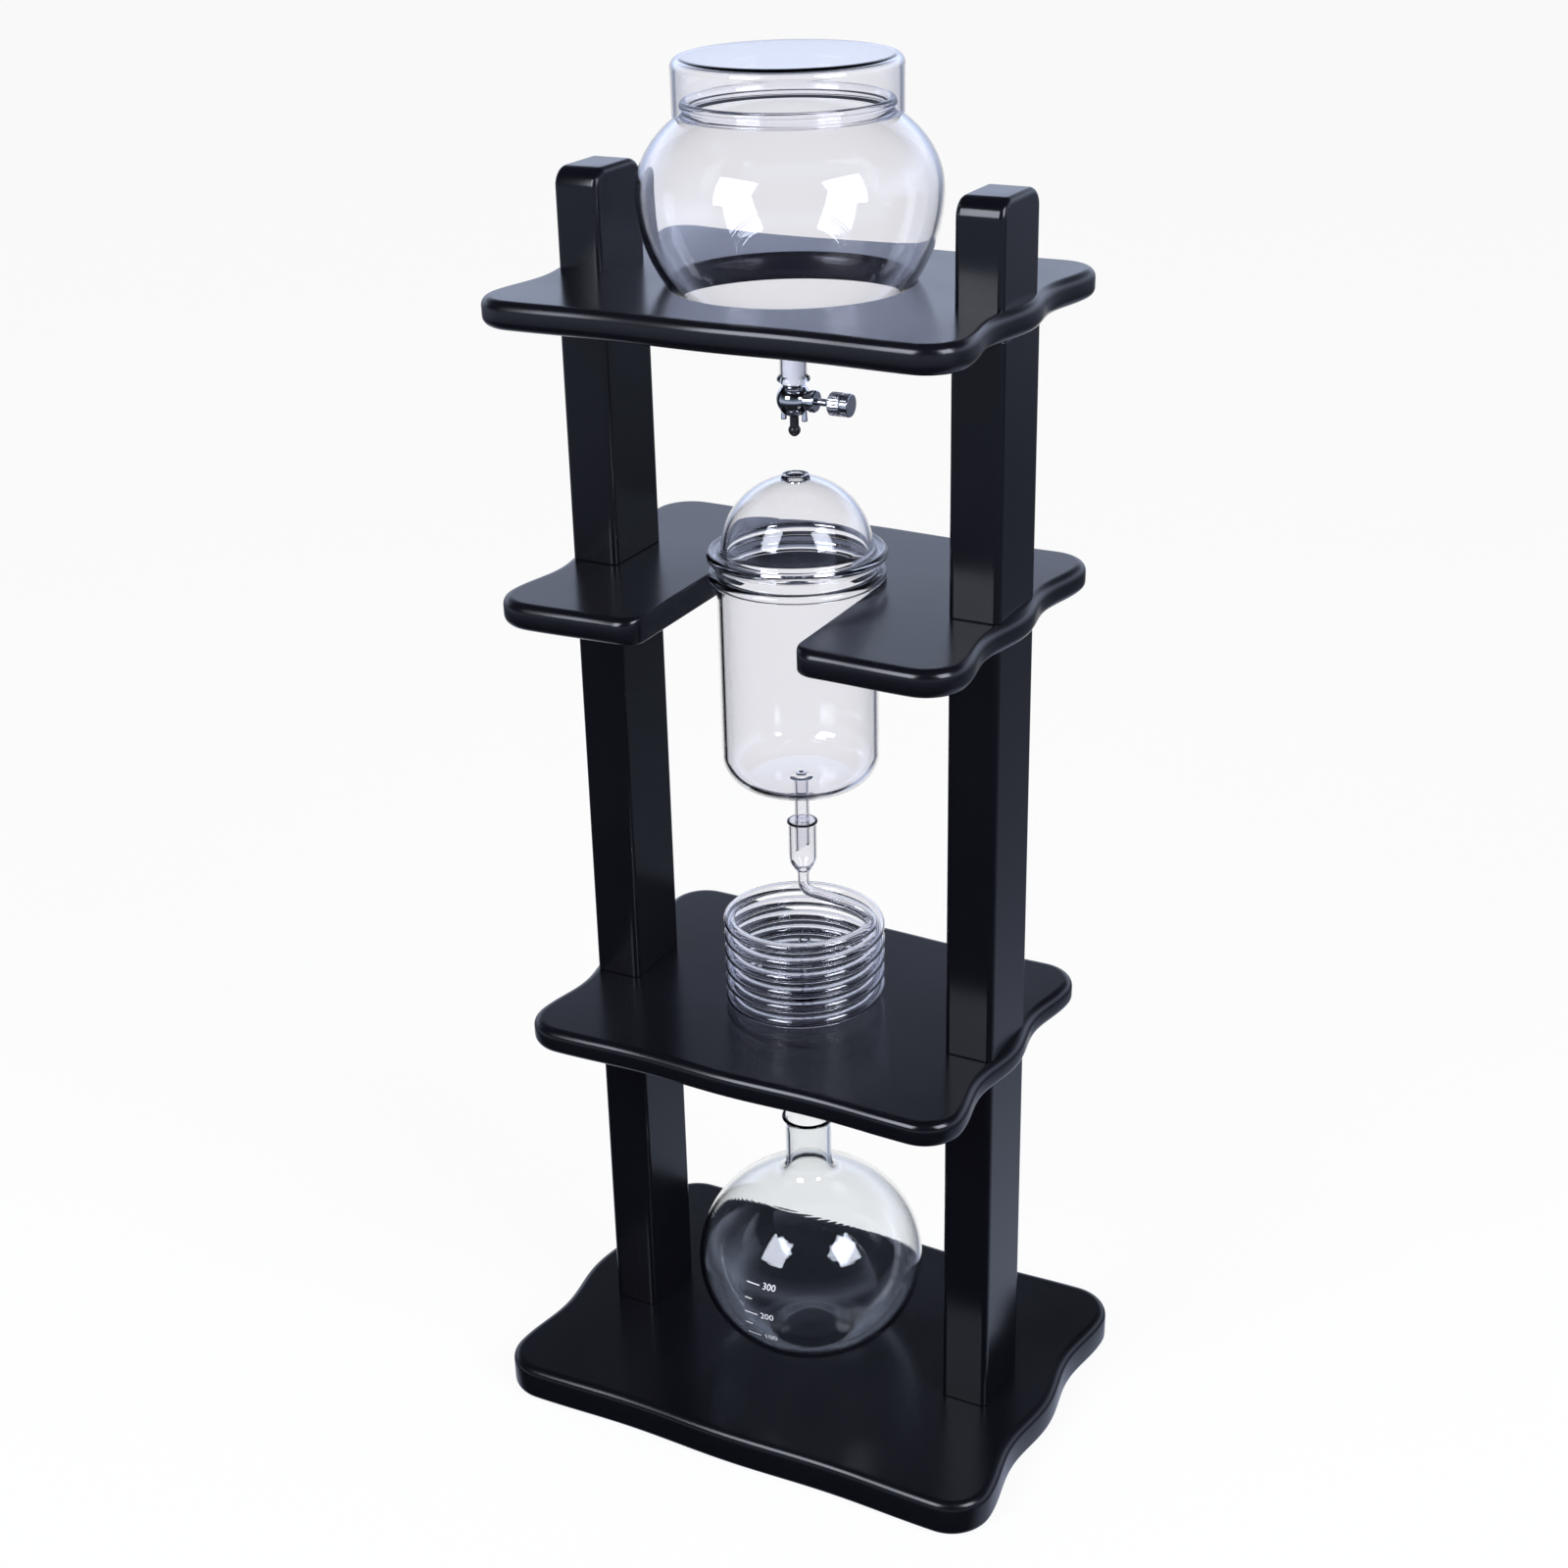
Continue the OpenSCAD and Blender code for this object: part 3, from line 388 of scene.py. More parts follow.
def wholeBoard(node, corner):
    low, high = corners(node)
    outline, outward = joined(boardOutline(high[0], high[1], corner))
    return solid(drawnIn(outline, outward, edgeRows(low[2], high[2], boards["edge"])), capped=True)


def holedBoard(node, corner, hole):
    # the rows go on from the upper face to the rings of a round hole and down through it;
    # a ring's point has the direction of the outline's point: hole = radius * (x, y) / length
    low, high = corners(node)
    outline, outward = joined(boardOutline(high[0], high[1], corner))
    rows = drawnIn(outline, outward, edgeRows(low[2], high[2], boards["edge"]))
    direction = outline / np.linalg.norm(outline, axis=1)[:, None]
    rings = [
        np.column_stack([direction * radius, np.full(len(outline), height)])
        for radius, height in hole(low[2], high[2])
    ]
    return solid(np.concatenate([rows, np.stack(rings)]), looped=True)


def slottedBoard(node, corner):
    # the front side is broken by a slot: its walls, its round end and its rounded front corners
    low, high = corners(node)
    halfW, halfD = high[0], high[1]
    run, half, turn = halfW - corner, boards["slotHalf"], boards["slotRound"]
    share = (half + turn) / run
    front = -halfD + edgeWave(share, boards["frontDip"])
    runs = boardOutline(halfW, halfD, corner)
    count = boards["wallPoints"]
    wall = np.column_stack([np.full(count, half), np.linspace(0, front + turn, count + 2)[1:-1]])
    slotRuns = [
        cornerRun((-half - turn, front + turn), turn, 270, 360),
        (wall[::-1] * (-1, 1), np.tile([1, 0], (count, 1))),
        cornerRun((0, 0), half, 180, 90, True), cornerRun((0, 0), half, 90, 0, True),
        (wall, np.tile([-1, 0], (count, 1))),
        cornerRun((half + turn, front + turn), turn, 180, 270),
    ]
    slotRuns[3] = (slotRuns[3][0][1:], slotRuns[3][1][1:])
    frontLeft = sideRun(halfD, run, boards["frontDip"], 270, -1, -share)
    frontRight = sideRun(halfD, run, boards["frontDip"], 270, share, 1)
    outline, outward = joined(runs[:6] + [frontLeft] + slotRuns + [frontRight, runs[7]])
    # the full rounding runs out to the slot's small one round the slot's front corners
    isSlot = (np.abs(outline[:, 0]) < half + turn) & (outline[:, 1] < half + 1)
    nearFront = np.clip((outline[:, 1] - front) / turn, 0, 1)
    small, full = boards["slotEdge"], boards["edge"]
    radius = np.where(isSlot, full + (small - full) * nearFront, full)
    return solid(drawnIn(outline, outward, edgeRows(low[2], high[2], radius)), capped=True)


def globeSeat(low, high):
    # the globe rests in a bevel whose upper radius follows its curve
    hole, bevel = boards["globeHole"], boards["seatBevel"]
    seatR = corners("water_globe")[1][0] + restGap
    upper = heightAt(heightAt(hole, seatR) - bevel, seatR)
    inner = [(upper + 0.8, high), (upper + 0.1, high), (upper - 0.1, high - 0.1)]
    inner += [(hole + 0.1, high - bevel), (hole, high - bevel - 0.2)]
    return inner + [(hole, low + 0.3), (hole + 0.3, low), (hole + 1, low)]


def tailHole(low, high):
    hole = boards["tailHole"]
    inner = [(hole + 1, high), (hole + 0.5, high), (hole + 0.15, high - 0.15), (hole, high - 0.5)]
    return inner + [(hole, low + 0.5), (hole + 0.5, low), (hole + 1, low)]


def cutRecesses(piece, node):
    # two round pockets under the base, taken out of its mesh
    foot = corners(node)[0][2] - 2
    postLow, postHigh = corners("right_lower_post")
    postX = (postLow[0] + postHigh[0]) / 2
    reach, depth = boards["recess"], boards["recessDepth"]
    points, faces = solid(spun(np.array([[0, foot], [reach, foot], [reach, depth], [0, depth]]), 64))
    for side in (left, right):
        moved = points + (side * postX, 0, 0)
        pocket = placed("pocket", weldedMesh("pocket", moved, faces, [0] * len(faces)))
        cut = piece.modifiers.new("pocket", "BOOLEAN")
        cut.object = pocket
        cut.operation = "DIFFERENCE"
        cut.solver = "EXACT"
        bpy.context.view_layer.update()
        result = piece.evaluated_get(bpy.context.evaluated_depsgraph_get())
        piece.data = bpy.data.meshes.new_from_object(result)
        piece.modifiers.clear()
        bpy.data.objects.remove(pocket)


def addPainted(node, shape, finish):
    return addPiece(f"{node}_painted", [shape], finish, "frame", [node])


baseBoard = addPainted("base_board", wholeBoard("base_board", boards["baseCorner"]), basePaint)
cutRecesses(baseBoard, "base_board")
shelfSolids = {
    "lower_shelf": holedBoard("lower_shelf", boards["shelfCorner"], tailHole),
    "middle_shelf": slottedBoard("middle_shelf", boards["shelfCorner"]),
    "top_shelf": holedBoard("top_shelf", boards["shelfCorner"], globeSeat),
}
for node, shelf in shelfSolids.items():
    addPainted(node, shelf, shelfPaint)
print("boards made")


posts = {
    "round": 3,  # upright edges
    "end": 0.35,  # eased top and bottom edges
    "finialRound": 8,  # front and back edges on top of a finial
    "finialSide": 2.6,  # edges round a finial's two sides
}


def blockOutline(halfW, halfD, radius):
    # a rectangle with quarter-circle corners; each flat side has a point near both of its ends
    runX, runY = halfW - radius, halfD - radius
    nearX, nearY = runX - 0.4, runY - 0.4
    ends = (((halfW, -nearY), (halfW, nearY)), ((nearX, halfD), (-nearX, halfD)),
            ((-halfW, nearY), (-halfW, -nearY)), ((-nearX, -halfD), (nearX, -halfD)))
    ways = ((1, 0), (0, 1), (-1, 0), (0, -1))
    sides = [(np.array(pair, float), np.tile(way, (2, 1))) for pair, way in zip(ends, ways)]
    return joined(cornered(runX, runY, radius, sides))


def postSolid(node):
    low, high = corners(node)
    middle, half = (low + high) / 2, (high - low) / 2
    outline, outward = blockOutline(half[0], half[1], posts["round"])
    end = posts["end"]
    rows = [(end + 0.3, low[2]), (end, low[2]), (end * 0.3, low[2] + end * 0.3), (0, low[2] + end)]
    rows += [(0, low[2] + end + 0.4), (0, high[2] - end - 0.4), (0, high[2] - end)]
    rows += [(end * 0.3, high[2] - end * 0.3), (end, high[2]), (end + 0.3, high[2])]
    grid = drawnIn(outline, outward, rows)
    return solid(grid + (middle[0], middle[1], 0), capped=True)


def finialSolid(node):
    # the outline seen from the side, with two rounded top corners, is carried across from left to
    # right and drawn in along a quarter circle near both sides; its foot stays on the shelf
    low, high = corners(node)
    turn, side = posts["finialRound"], posts["finialSide"]
    halfD, top = high[1], high[2]
    frontTop = cornerRun((-halfD + turn, top - turn), turn, 180, 90)
    backTop = cornerRun((halfD - turn, top - turn), turn, 90, 0)
    wall = np.array([[-halfD, low[2]], [-halfD, low[2] + 0.4], [-halfD, top - turn - 0.4]])
    outline = np.vstack([wall, frontTop[0], [[-1, top], [1, top]], backTop[0], wall[::-1] * (-1, 1)])
    wallWay = np.tile([-1.0, 0.0], (3, 1))
    outward = np.vstack([wallWay, frontTop[1], [[0, 1], [0, 1]], backTop[1], -wallWay])
    inset, shift = side * (1 - np.sin(quarter)), side * (1 - np.cos(quarter))
    inset, shift = np.r_[side + 0.4, inset], np.r_[0, shift]
    x = np.r_[low[0] + shift, high[0] - shift[::-1]]
    drawn = np.r_[inset, inset[::-1]]
    flat = outline[None] - drawn[:, None, None] * outward[None]
    grid = np.concatenate([np.broadcast_to(x[:, None, None], flat.shape[:2] + (1,)), flat], axis=-1)
    return solid(grid[::-1], capped=True)


for column in ("left", "right"):
    for level in ("lower", "middle", "upper"):
        node = f"{column}_{level}_post"
        addPainted(node, postSolid(node), postPaint)
    node = f"{column}_finial"
    addPainted(node, finialSolid(node), postPaint)
print("posts and finials made")


globe = {
    "crown": 43, "wall": 2.5,  # height of the upper half, glass
    "neck": 42.2, "lip": 1.85, "lipOut": 1.2, "neckHeight": 1.2,
    "outlet": 5.8, "outletWall": 1.2, "outletLength": 16.2, "bead": 1.7, "beadOut": 1.2,
    "fillet": 4, "shoulder": 1.3,
    "rows": 110, "crownRows": 50,  # steps of the lower and the upper half
    "sleeveBore": 2.95,
}
lid = {"wall": 2, "round": 4, "lip": 0.7}


def globeSolid():
    low, high = corners("water_globe")
    r, wall, lipR, beadR = high[0], globe["wall"], globe["lip"], globe["bead"]
    neck, outlet = globe["neck"], globe["outlet"]
    bore = outlet - globe["outletWall"]
    mouthZ, middleZ = low[2], low[2] + globe["outletLength"] + r
    footZ = middleZ - r
    bead = (outlet + globe["beadOut"] - beadR, mouthZ + beadR)
    beadEnd = angleAt(outlet - bead[0], beadR)
    fillet, innerFillet = outlet + globe["fillet"], bore + globe["fillet"]
    shoulder = neck + globe["shoulder"]
    shoulderZ = middleZ + globe["crown"] * math.sqrt(1 - (shoulder / r) ** 2)
    lip = (neck + globe["lipOut"] - lipR, high[2] - lipR)
    lipStart = angleAt(neck - lip[0], lipR)
    innerR, innerCrown, neckInner = r - wall, globe["crown"] - wall, lip[0] - lipR
    rows, crownRows, neckFoot = globe["rows"], globe["crownRows"], shoulderZ + 1
    outside = [
        arcPoints(bead, beadR, -90, beadEnd, 14),
        bendPoints((outlet, footZ - 3), (outlet, footZ + 0.3),
                   (fillet, middleZ - heightAt(fillet, r)), 12),
        arcPoints((0, middleZ), r, 2 - angleAt(fillet, r), 0, rows),
        arcPoints((0, middleZ), (r, globe["crown"]), 1, angleAt(shoulder, r) - 1, crownRows),
        bendPoints((shoulder, shoulderZ), (neck, neckFoot),
                   (neck, shoulderZ + globe["neckHeight"] + 1), 8),
        arcPoints(lip, lipR, 10 - lipStart, 180, 16),
    ]
    inside = [
        arcPoints((0, middleZ), (innerR, innerCrown), angleAt(neckInner, innerR), 0, crownRows),
        arcPoints((0, middleZ), innerR, -1, 2 - angleAt(innerFillet, innerR), rows),
        bendPoints((innerFillet, middleZ - heightAt(innerFillet, innerR)),
                   (bore, footZ + wall), (bore, footZ - 2), 12),
        [[bore, mouthZ + 0.4], [bore + 0.4, mouthZ]],
    ]
    return solid(spun(easedLoop(np.vstack(outside + inside))), looped=True)


def lidSolid():
    # a low bell with a rounded top edge; its skirt ends in a small round lip
    low, high = corners("globe_lid")
    outer, wall, turn, lip = high[0], lid["wall"], lid["round"], lid["lip"]
    inner = outer - wall
    outside = [
        arcPoints((inner + lip, low[2] + lip), lip, 180, 270, 5),
        arcPoints((outer - lip, low[2] + lip), lip, 270, 360, 5),
        arcPoints((outer - turn, high[2] - turn), turn, 0, 90, 16),
        [[0, high[2]]],
    ]
    inside = [
        [[0, high[2] - wall]],
        arcPoints((outer - turn, high[2] - turn), turn - wall, 90, 0, 12),
    ]
    outside, inside = eased(np.vstack(outside)), eased(np.vstack(inside + [outside[0][:1]]))
    return solid(spun(np.vstack([outside, inside[:-1]])), looped=True)


def ringSolid(node, outer, bore, edge, sides):
    # a plain ring as high as its node, with eased edges
    low, high = corners(node)[0][2], corners(node)[1][2]
    profile = [[bore + edge, low], [outer - edge, low], [outer, low + edge], [outer, high - edge],
               [outer - edge, high], [bore + edge, high], [bore, high - edge], [bore, low + edge]]
    return solid(spun(easedLoop(np.array(profile)), sides), looped=True)


addClearPiece("water_globe_glass", [globeSolid()], "globe", ["water_globe"])
addClearPiece("globe_lid_glass", [lidSolid()], "lid", ["globe_lid"])
sleeve = ringSolid("outlet_sleeve", corners("outlet_sleeve")[1][0], globe["sleeveBore"], 0.25, 96)
addPiece("outlet_sleeve_soft", [sleeve], silicone, "globe", ["outlet_sleeve"])
print("globe and lid made")


valve = {
    "ball": 7.4, "drop": 7, "collar": 4.6,  # ball, height of its middle under the outlet, collar
    "inlet": 2.9, "inletLength": 11,
    "boss": 4.2, "bossReach": 8,
    "gland": 4.7, "glandWidth": 2.7, "stem": 1.6, "stemGap": 0.05, "bareStem": 4.6,
    "knob": 5, "cone": 2.3, "grip": 5.2, "groove": 0.8, "grooveShare": 0.86,
    "flutes": 28, "fluteDepth": 0.14, "knobSides": 224,
    "leg": 1.3, "legReach": 4.9, "legDrop": 9.1,
    "nozzle": 1.9, "bulb": 2.6, "nozzleDrop": 15.8, "nozzleMouth": 1.3,
}
outletZ = corners("water_globe")[0][2]
valveZ = outletZ - valve["drop"]


def ballSolid():
    # ball, collar and inlet stem in one profile from the underside up
    ball, collar, inlet = valve["ball"], valve["collar"], valve["inlet"]
    collarAt = angleAt(collar, ball)
    top = outletZ - 0.05
    end = outletZ + valve["inletLength"]
    profile = [
        arcPoints((0, valveZ), ball, -90, collarAt - 3, 44),
        [[collar + 0.1, valveZ + ball * math.sin(math.radians(collarAt)) + 0.1], [collar, top - 0.4]],
        [[collar - 0.4, top], [inlet, top], [inlet, end - 0.3], [inlet - 0.3, end], [0, end]],
    ]
    return solid(spun(eased(np.vstack(profile)), 96))


def lyingRing(profile, start):
    return solid(laidAlongX(spun(easedLoop(np.array(profile)), 96), start, valveZ), looped=True)


def bossSolid():
    boss, reach, bore = valve["boss"], valve["bossReach"], valve["stem"] + valve["stemGap"]
    return lyingRing([[bore, 0], [boss, 0], [boss, reach - 0.4], [boss - 0.4, reach], [bore, reach]], 0)


def legSolid(side):
    # a tapered foot under the ball, with a domed end
    leg = valve["leg"]
    foot, top = valveZ - valve["legDrop"], valveZ - valve["ball"] / 2
    profile = [[[0, foot]], arcPoints((leg - 0.5, foot + 0.5), 0.5, -90, 0, 5),
               [[leg * 0.75, top - 0.3], [0, top]]]
    points, faces = solid(spun(eased(np.vstack(profile)), 40))
    return points + (side * valve["legReach"], 0, 0), faces


def glandSolid():
    gland, wide, bore = valve["gland"], valve["glandWidth"], valve["stem"] + valve["stemGap"]
    profile = [[bore, 0], [gland - 0.35, 0], [gland, 0.35], [gland, wide - 0.5]]
    return lyingRing(profile + [[gland - 0.5, wide], [bore, wide]], valve["bossReach"])


def knobSolid():
    # stem, cone, grip, groove and end disc; the grip's radius dips by flutes round the axis:
    # radius - depth * (1 - cos(flutes * angle)) / 2
    low, high = corners("valve_knob")
    knob, stem = valve["knob"], valve["stem"]
    cone = valve["bossReach"] + valve["glandWidth"] + valve["bareStem"] - low[0]
    grip = cone + valve["cone"]
    groove = grip + valve["grip"]
    disc = groove + valve["groove"]
    end = high[0] - low[0]
    waist, sides = knob * valve["grooveShare"], valve["knobSides"]
    profile = np.vstack([
        [[0, 0], [stem, 0], [stem, cone], [knob - 0.3, grip - 0.1], [knob, grip + 0.2]],
        [[knob, groove - 0.2], [knob - 0.2, groove], [waist, groove], [waist, disc]],
        [[knob - 0.2, disc], [knob, disc + 0.2]],
        arcPoints((knob - 0.6, end - 0.6), 0.6, 0, 90, 8),
        [[0, end]],
    ])
    grid = spun(eased(profile), sides)
    angle = np.linspace(0, 2 * np.pi, sides, endpoint=False)
    onGrip = (grid[..., 2] > grip + 0.1) & (grid[..., 2] < groove - 0.1)
    dip = valve["fluteDepth"] * (1 - np.cos(valve["flutes"] * angle)) / 2
    grid[..., :2] *= 1 - (onGrip * dip / knob)[..., None]
    return solid(laidAlongX(grid, low[0], valveZ))


def nozzleSolid():
    # a straight tube that ends in a bulb with a small mouth
    tube, bulb, mouth = valve["nozzle"], valve["bulb"], valve["nozzleMouth"]
    tip, top = valveZ - valve["nozzleDrop"], valveZ - valve["ball"] / 2
    bulbZ = tip + bulb
    mouthAt, tubeAt = angleAt(mouth, bulb), math.degrees(math.asin(tube / bulb))
    profile = np.vstack([
        [[0, tip + 0.6], [mouth - 0.5, tip + 0.4], [mouth - 0.3, tip + 0.05]],
        arcPoints((0, bulbZ), bulb, -mouthAt - 22, 90 - tubeAt, 20),
        [[tube, top], [0, top]],
    ])
    return solid(spun(eased(profile), 72))


bodySolids = [ballSolid(), bossSolid(), legSolid(left), legSolid(right)]
addPiece("valve_body_chrome", bodySolids, chrome, "globe", ["valve_body"])
addPiece("gland_nut_chrome", [glandSolid()], chrome, "globe", ["gland_nut"])
addPiece("valve_knob_chrome", [knobSolid()], chrome, "knob", ["valve_knob"])
addPiece("valve_nozzle_dark", [nozzleSolid()], nozzlePlastic, "globe", ["valve_nozzle"])
print("valve made")


chamber = {
    "radius": 35, "wall": 2.2, "corner": 14, "depth": 95,  # depth is below the middle shelf
    "flange": 4.2,
    "tube": 3.25, "bore": 2.15, "slope": 34, "fillet": 3,  # drip tube, its cut end in degrees
}
dome = {"radius": 33, "flange": 4.5, "hole": 3.9, "collar": 6, "collarHeight": 1.6, "rise": 3.2}


def chamberSolid():
    low, high = corners("brew_chamber")
    r, wall, turn, fillet = chamber["radius"], chamber["wall"], chamber["corner"], chamber["fillet"]
    tube, bore, thick = chamber["tube"], chamber["bore"], chamber["flange"]
    flangeR, half, lip = high[0], chamber["flange"] / 2, chamber["wall"] / 2
    flangeZ = corners("middle_shelf")[1][2] + restGap
    floorZ = flangeZ - restGap - chamber["depth"]
    endZ, straightZ = low[2], floorZ - fillet - 2
    outside = [
        [[tube, endZ], [tube, straightZ]],
        bendPoints((tube, floorZ - fillet), (tube, floorZ), (tube + fillet, floorZ), 10),
        arcPoints((r - turn, floorZ + turn), turn, -90, 0, 24),
        bendPoints((r, flangeZ - 0.8), (r, flangeZ), (r + 0.8, flangeZ), 4),
        arcPoints((flangeR - half, flangeZ + half), half, -90, 90, 18),
        bendPoints((r + 0.8, flangeZ + thick), (r, flangeZ + thick), (r, flangeZ + thick + 0.8), 4),
        arcPoints((r - lip, high[2] - lip), lip, 0, 180, 14),
    ]
    inside = [
        arcPoints((r - turn, floorZ + turn), turn - wall, 0, -90, 24),
        bendPoints((bore + fillet, floorZ + wall), (bore, floorZ + wall),
                   (bore, floorZ + wall - fillet), 10),
        [[bore, straightZ], [bore, endZ]],
    ]
    grid = spun(easedLoop(np.vstack(outside + inside)))
    # the tube's end is cut on a slope: heights below the straight part stretch down to
    # end + (x + tube radius) * tan(slope)
    cut = endZ + (grid[..., 0] + tube) * math.tan(math.radians(chamber["slope"]))
    height = grid[..., 2]
    share = np.clip((straightZ - height) / (straightZ - endZ), 0, None)
    grid[..., 2] = np.where(height < straightZ, straightZ - share * (straightZ - cut), height)
    return solid(grid, looped=True)


def domeSolid():
    low, high = corners("drip_dome")
    r, wall, thick = dome["radius"], chamber["wall"], dome["flange"]
    flangeR, half, hole, collar = high[0], dome["flange"] / 2, dome["hole"], dome["collar"]
    middleZ, flangeTop = low[2] + dome["rise"], low[2] + thick
    spring = math.degrees(math.asin((flangeTop + 2 - middleZ) / r))
    collarFoot = high[2] - dome["collarHeight"]
    collarInside = collarFoot - wall
    innerR, edge = r - wall, 0.6
    outside = [
        bendPoints((innerR, low[2] + 0.8), (innerR, low[2]), (innerR + 0.8, low[2]), 4),
        arcPoints((flangeR - half, low[2] + half), half, -90, 90, 18),
        bendPoints((r + 2, flangeTop), (r, flangeTop),
                   (r * math.cos(math.radians(spring)), flangeTop + 2), 8),
        arcPoints((0, middleZ), r, spring + 3, angleAt(collar, r) - 2, 40),
        bendPoints((collar + 0.5, middleZ + heightAt(collar + 0.5, r)),
                   (collar, collarFoot), (collar, high[2] - edge - 0.2), 4),
        arcPoints((collar - edge, high[2] - edge), edge, 0, 90, 6),
        arcPoints((hole + edge, high[2] - edge), edge, 90, 180, 6),
    ]
    inside = [
        bendPoints((hole, collarInside + 0.4), (hole, collarInside),
                   (hole + 1, middleZ + heightAt(hole + 1, innerR)), 4),
        arcPoints((0, middleZ), innerR, angleAt(hole + 1, innerR) - 2, 0, 42),
    ]
    return solid(spun(easedLoop(np.vstack(outside + inside))), looped=True)


addClearPiece("brew_chamber_glass", [chamberSolid()], "chamber", ["brew_chamber"])
addClearPiece("drip_dome_glass", [domeSolid()], "dome", ["drip_dome"])
print("chamber and dome made")


coil = {
    "tube": 2.6, "bore": 1.7, "radius": 34.5, "turns": 5.5,
    "entryAt": 25, "entrySweep": 30, "exitSweep": 70,  # degrees round the axis
    "bend": 6.5, "slope": 17,  # bend under the funnel and the slope after it
    "funnel": 6.4, "funnelWall": 1.1, "rim": 7, "funnelHeight": 18, "taper": 8.2, "flare": 2.2,
    "sides": 20, "turnSteps": 64, "curveSteps": 40,
}


def coilPath(startZ, lowZ):
    # a bend out of the upright, a sloping curve from the axis to the first turn, the turns going
    # down clockwise, and a level curve back to the axis; radius, angle and height as arrays
    at, slope, turn = coil["entryAt"], math.radians(coil["slope"]), coil["bend"]
    entryR = turn * (1 - math.sin(slope))
    entryZ = startZ - turn * math.cos(slope)
    topZ = entryZ - (coil["radius"] - entryR) * math.tan(slope)
    bendAngle = np.linspace(0, math.pi / 2 - slope, 16)
    curveT = np.linspace(0, 1, coil["curveSteps"] + 1)[1:]
    roundT = np.linspace(0, 1, int(coil["turnSteps"] * coil["turns"]) + 1)[1:]
    outR = entryR + (coil["radius"] - entryR) * np.sin(np.pi / 2 * curveT)
    backR = coil["tube"] + (coil["radius"] - coil["tube"]) * np.cos(np.pi / 2 * curveT)
    full, sweep = 360 * coil["turns"], coil["entrySweep"]
    radius = np.r_[turn * (1 - np.cos(bendAngle)), outR, 0 * roundT + coil["radius"], backR]
    angle = np.r_[0 * bendAngle + at, at - sweep * curveT ** 2, at - sweep - full * roundT,
                  at - sweep - full - coil["exitSweep"] * curveT]
    height = np.r_[startZ - turn * np.sin(bendAngle), entryZ - (outR - entryR) * math.tan(slope),
                   topZ - (topZ - lowZ) * roundT, 0 * curveT + lowZ]
    angle = np.radians(angle)
    return np.column_stack([radius * np.cos(angle), radius * np.sin(angle), height])


def carried(path, radius):
    # a circle of each row's radius stands square to the path; one of its axes stays level
    ahead = np.gradient(path, axis=0)
    ahead[0] = (0, 0, -1)
    ahead /= np.linalg.norm(ahead, axis=1)[:, None]
    start = math.radians(coil["entryAt"])
    level = ahead[:, :2] + 1e-4 * np.array([math.cos(start), math.sin(start)])
    level /= np.linalg.norm(level, axis=1)[:, None]
    sideways = np.column_stack([-level[:, 1], level[:, 0], np.zeros(len(path))])
    upward = np.cross(ahead, sideways)
    a = np.linspace(0, 2 * np.pi, coil["sides"], endpoint=False)[None, :, None]
    ring = np.cos(a) * sideways[:, None] + np.sin(a) * upward[:, None]
    return path[:, None] + np.reshape(radius, (-1, 1, 1)) * ring


def coilSolids():
    funnelTop, funnelStart = corners("coil_funnel")[1][2], corners("coil_funnel")[0][2]
    tube, bore = coil["tube"], coil["bore"]
    funnel, rim, wall, flare = coil["funnel"], coil["rim"], coil["funnelWall"], coil["flare"]
    inner, lip = funnel - wall, coil["funnelWall"] / 2
    bodyFoot = funnelTop - coil["funnelHeight"]
    foot = bodyFoot - coil["taper"]
    taperZ = foot + coil["taper"] * 0.6
    outside = eased(np.vstack([
        arcPoints((rim - lip, funnelTop - lip), lip, 180, 30, 8),
        bendPoints((rim, funnelTop - lip - 0.2), (funnel, funnelTop - flare / 2),
                   (funnel, funnelTop - flare), 6),
        bendPoints((funnel, bodyFoot), (funnel, taperZ), (tube + 0.6, foot + 1.2), 12),
        bendPoints((tube + 0.4, foot + 0.8), (tube, foot), (tube, foot - 1), 6),
        [[tube, funnelStart + 0.1]],
    ]))
    inside = eased(np.vstack([
        [[bore, funnelStart + 0.1]],
        bendPoints((bore, foot + 1.2), (inner, taperZ), (inner, bodyFoot), 12),
        bendPoints((inner, funnelTop - flare), (inner, funnelTop - flare / 2),
                   (rim - 2 * lip, funnelTop - lip), 5),
    ]))
    lowZ = corners("coil_turns_tube")[0][2] + tube
    path = coilPath(funnelStart, lowZ)

    def led(rows, tubeR):
        # the funnel's rows stand on the axis, and the tube's radius goes on along the path
        axis = np.column_stack([0 * rows[:, 0], 0 * rows[:, 0], rows[:, 1]])
        return carried(np.vstack([axis, path]), np.r_[rows[:, 0], np.full(len(path), tubeR)])

    skins = np.concatenate([led(outside, tube), led(inside[::-1], bore)[::-1]])
    return [solid(skins, looped=True), ringSolid("coil_down_tube", tube, bore, 0.3, 48)]


addClearPiece("glass_coil", coilSolids(), "coil", ["coil_funnel", "coil_turns_tube", "coil_down_tube"])
print("coil made")


flask = {
    "halfHeight": 49, "foot": 21.6, "wall": 2, "neck": 11, "rim": 12.5,
    "flare": 6, "shoulder": 5, "rows": 72,
    "marks": ((300, 14.0), (200, -1.5), (100, -15.0)),  # number and height from the widest part
    "markAt": -98, "markWidth": 7.0, "markThick": 0.5, "markPoints": 9, "shortMark": 0.55,
    "digit": 3.4, "fontPerDigit": 1.35, "digitGap": 1.5, "proud": 0.06,
}


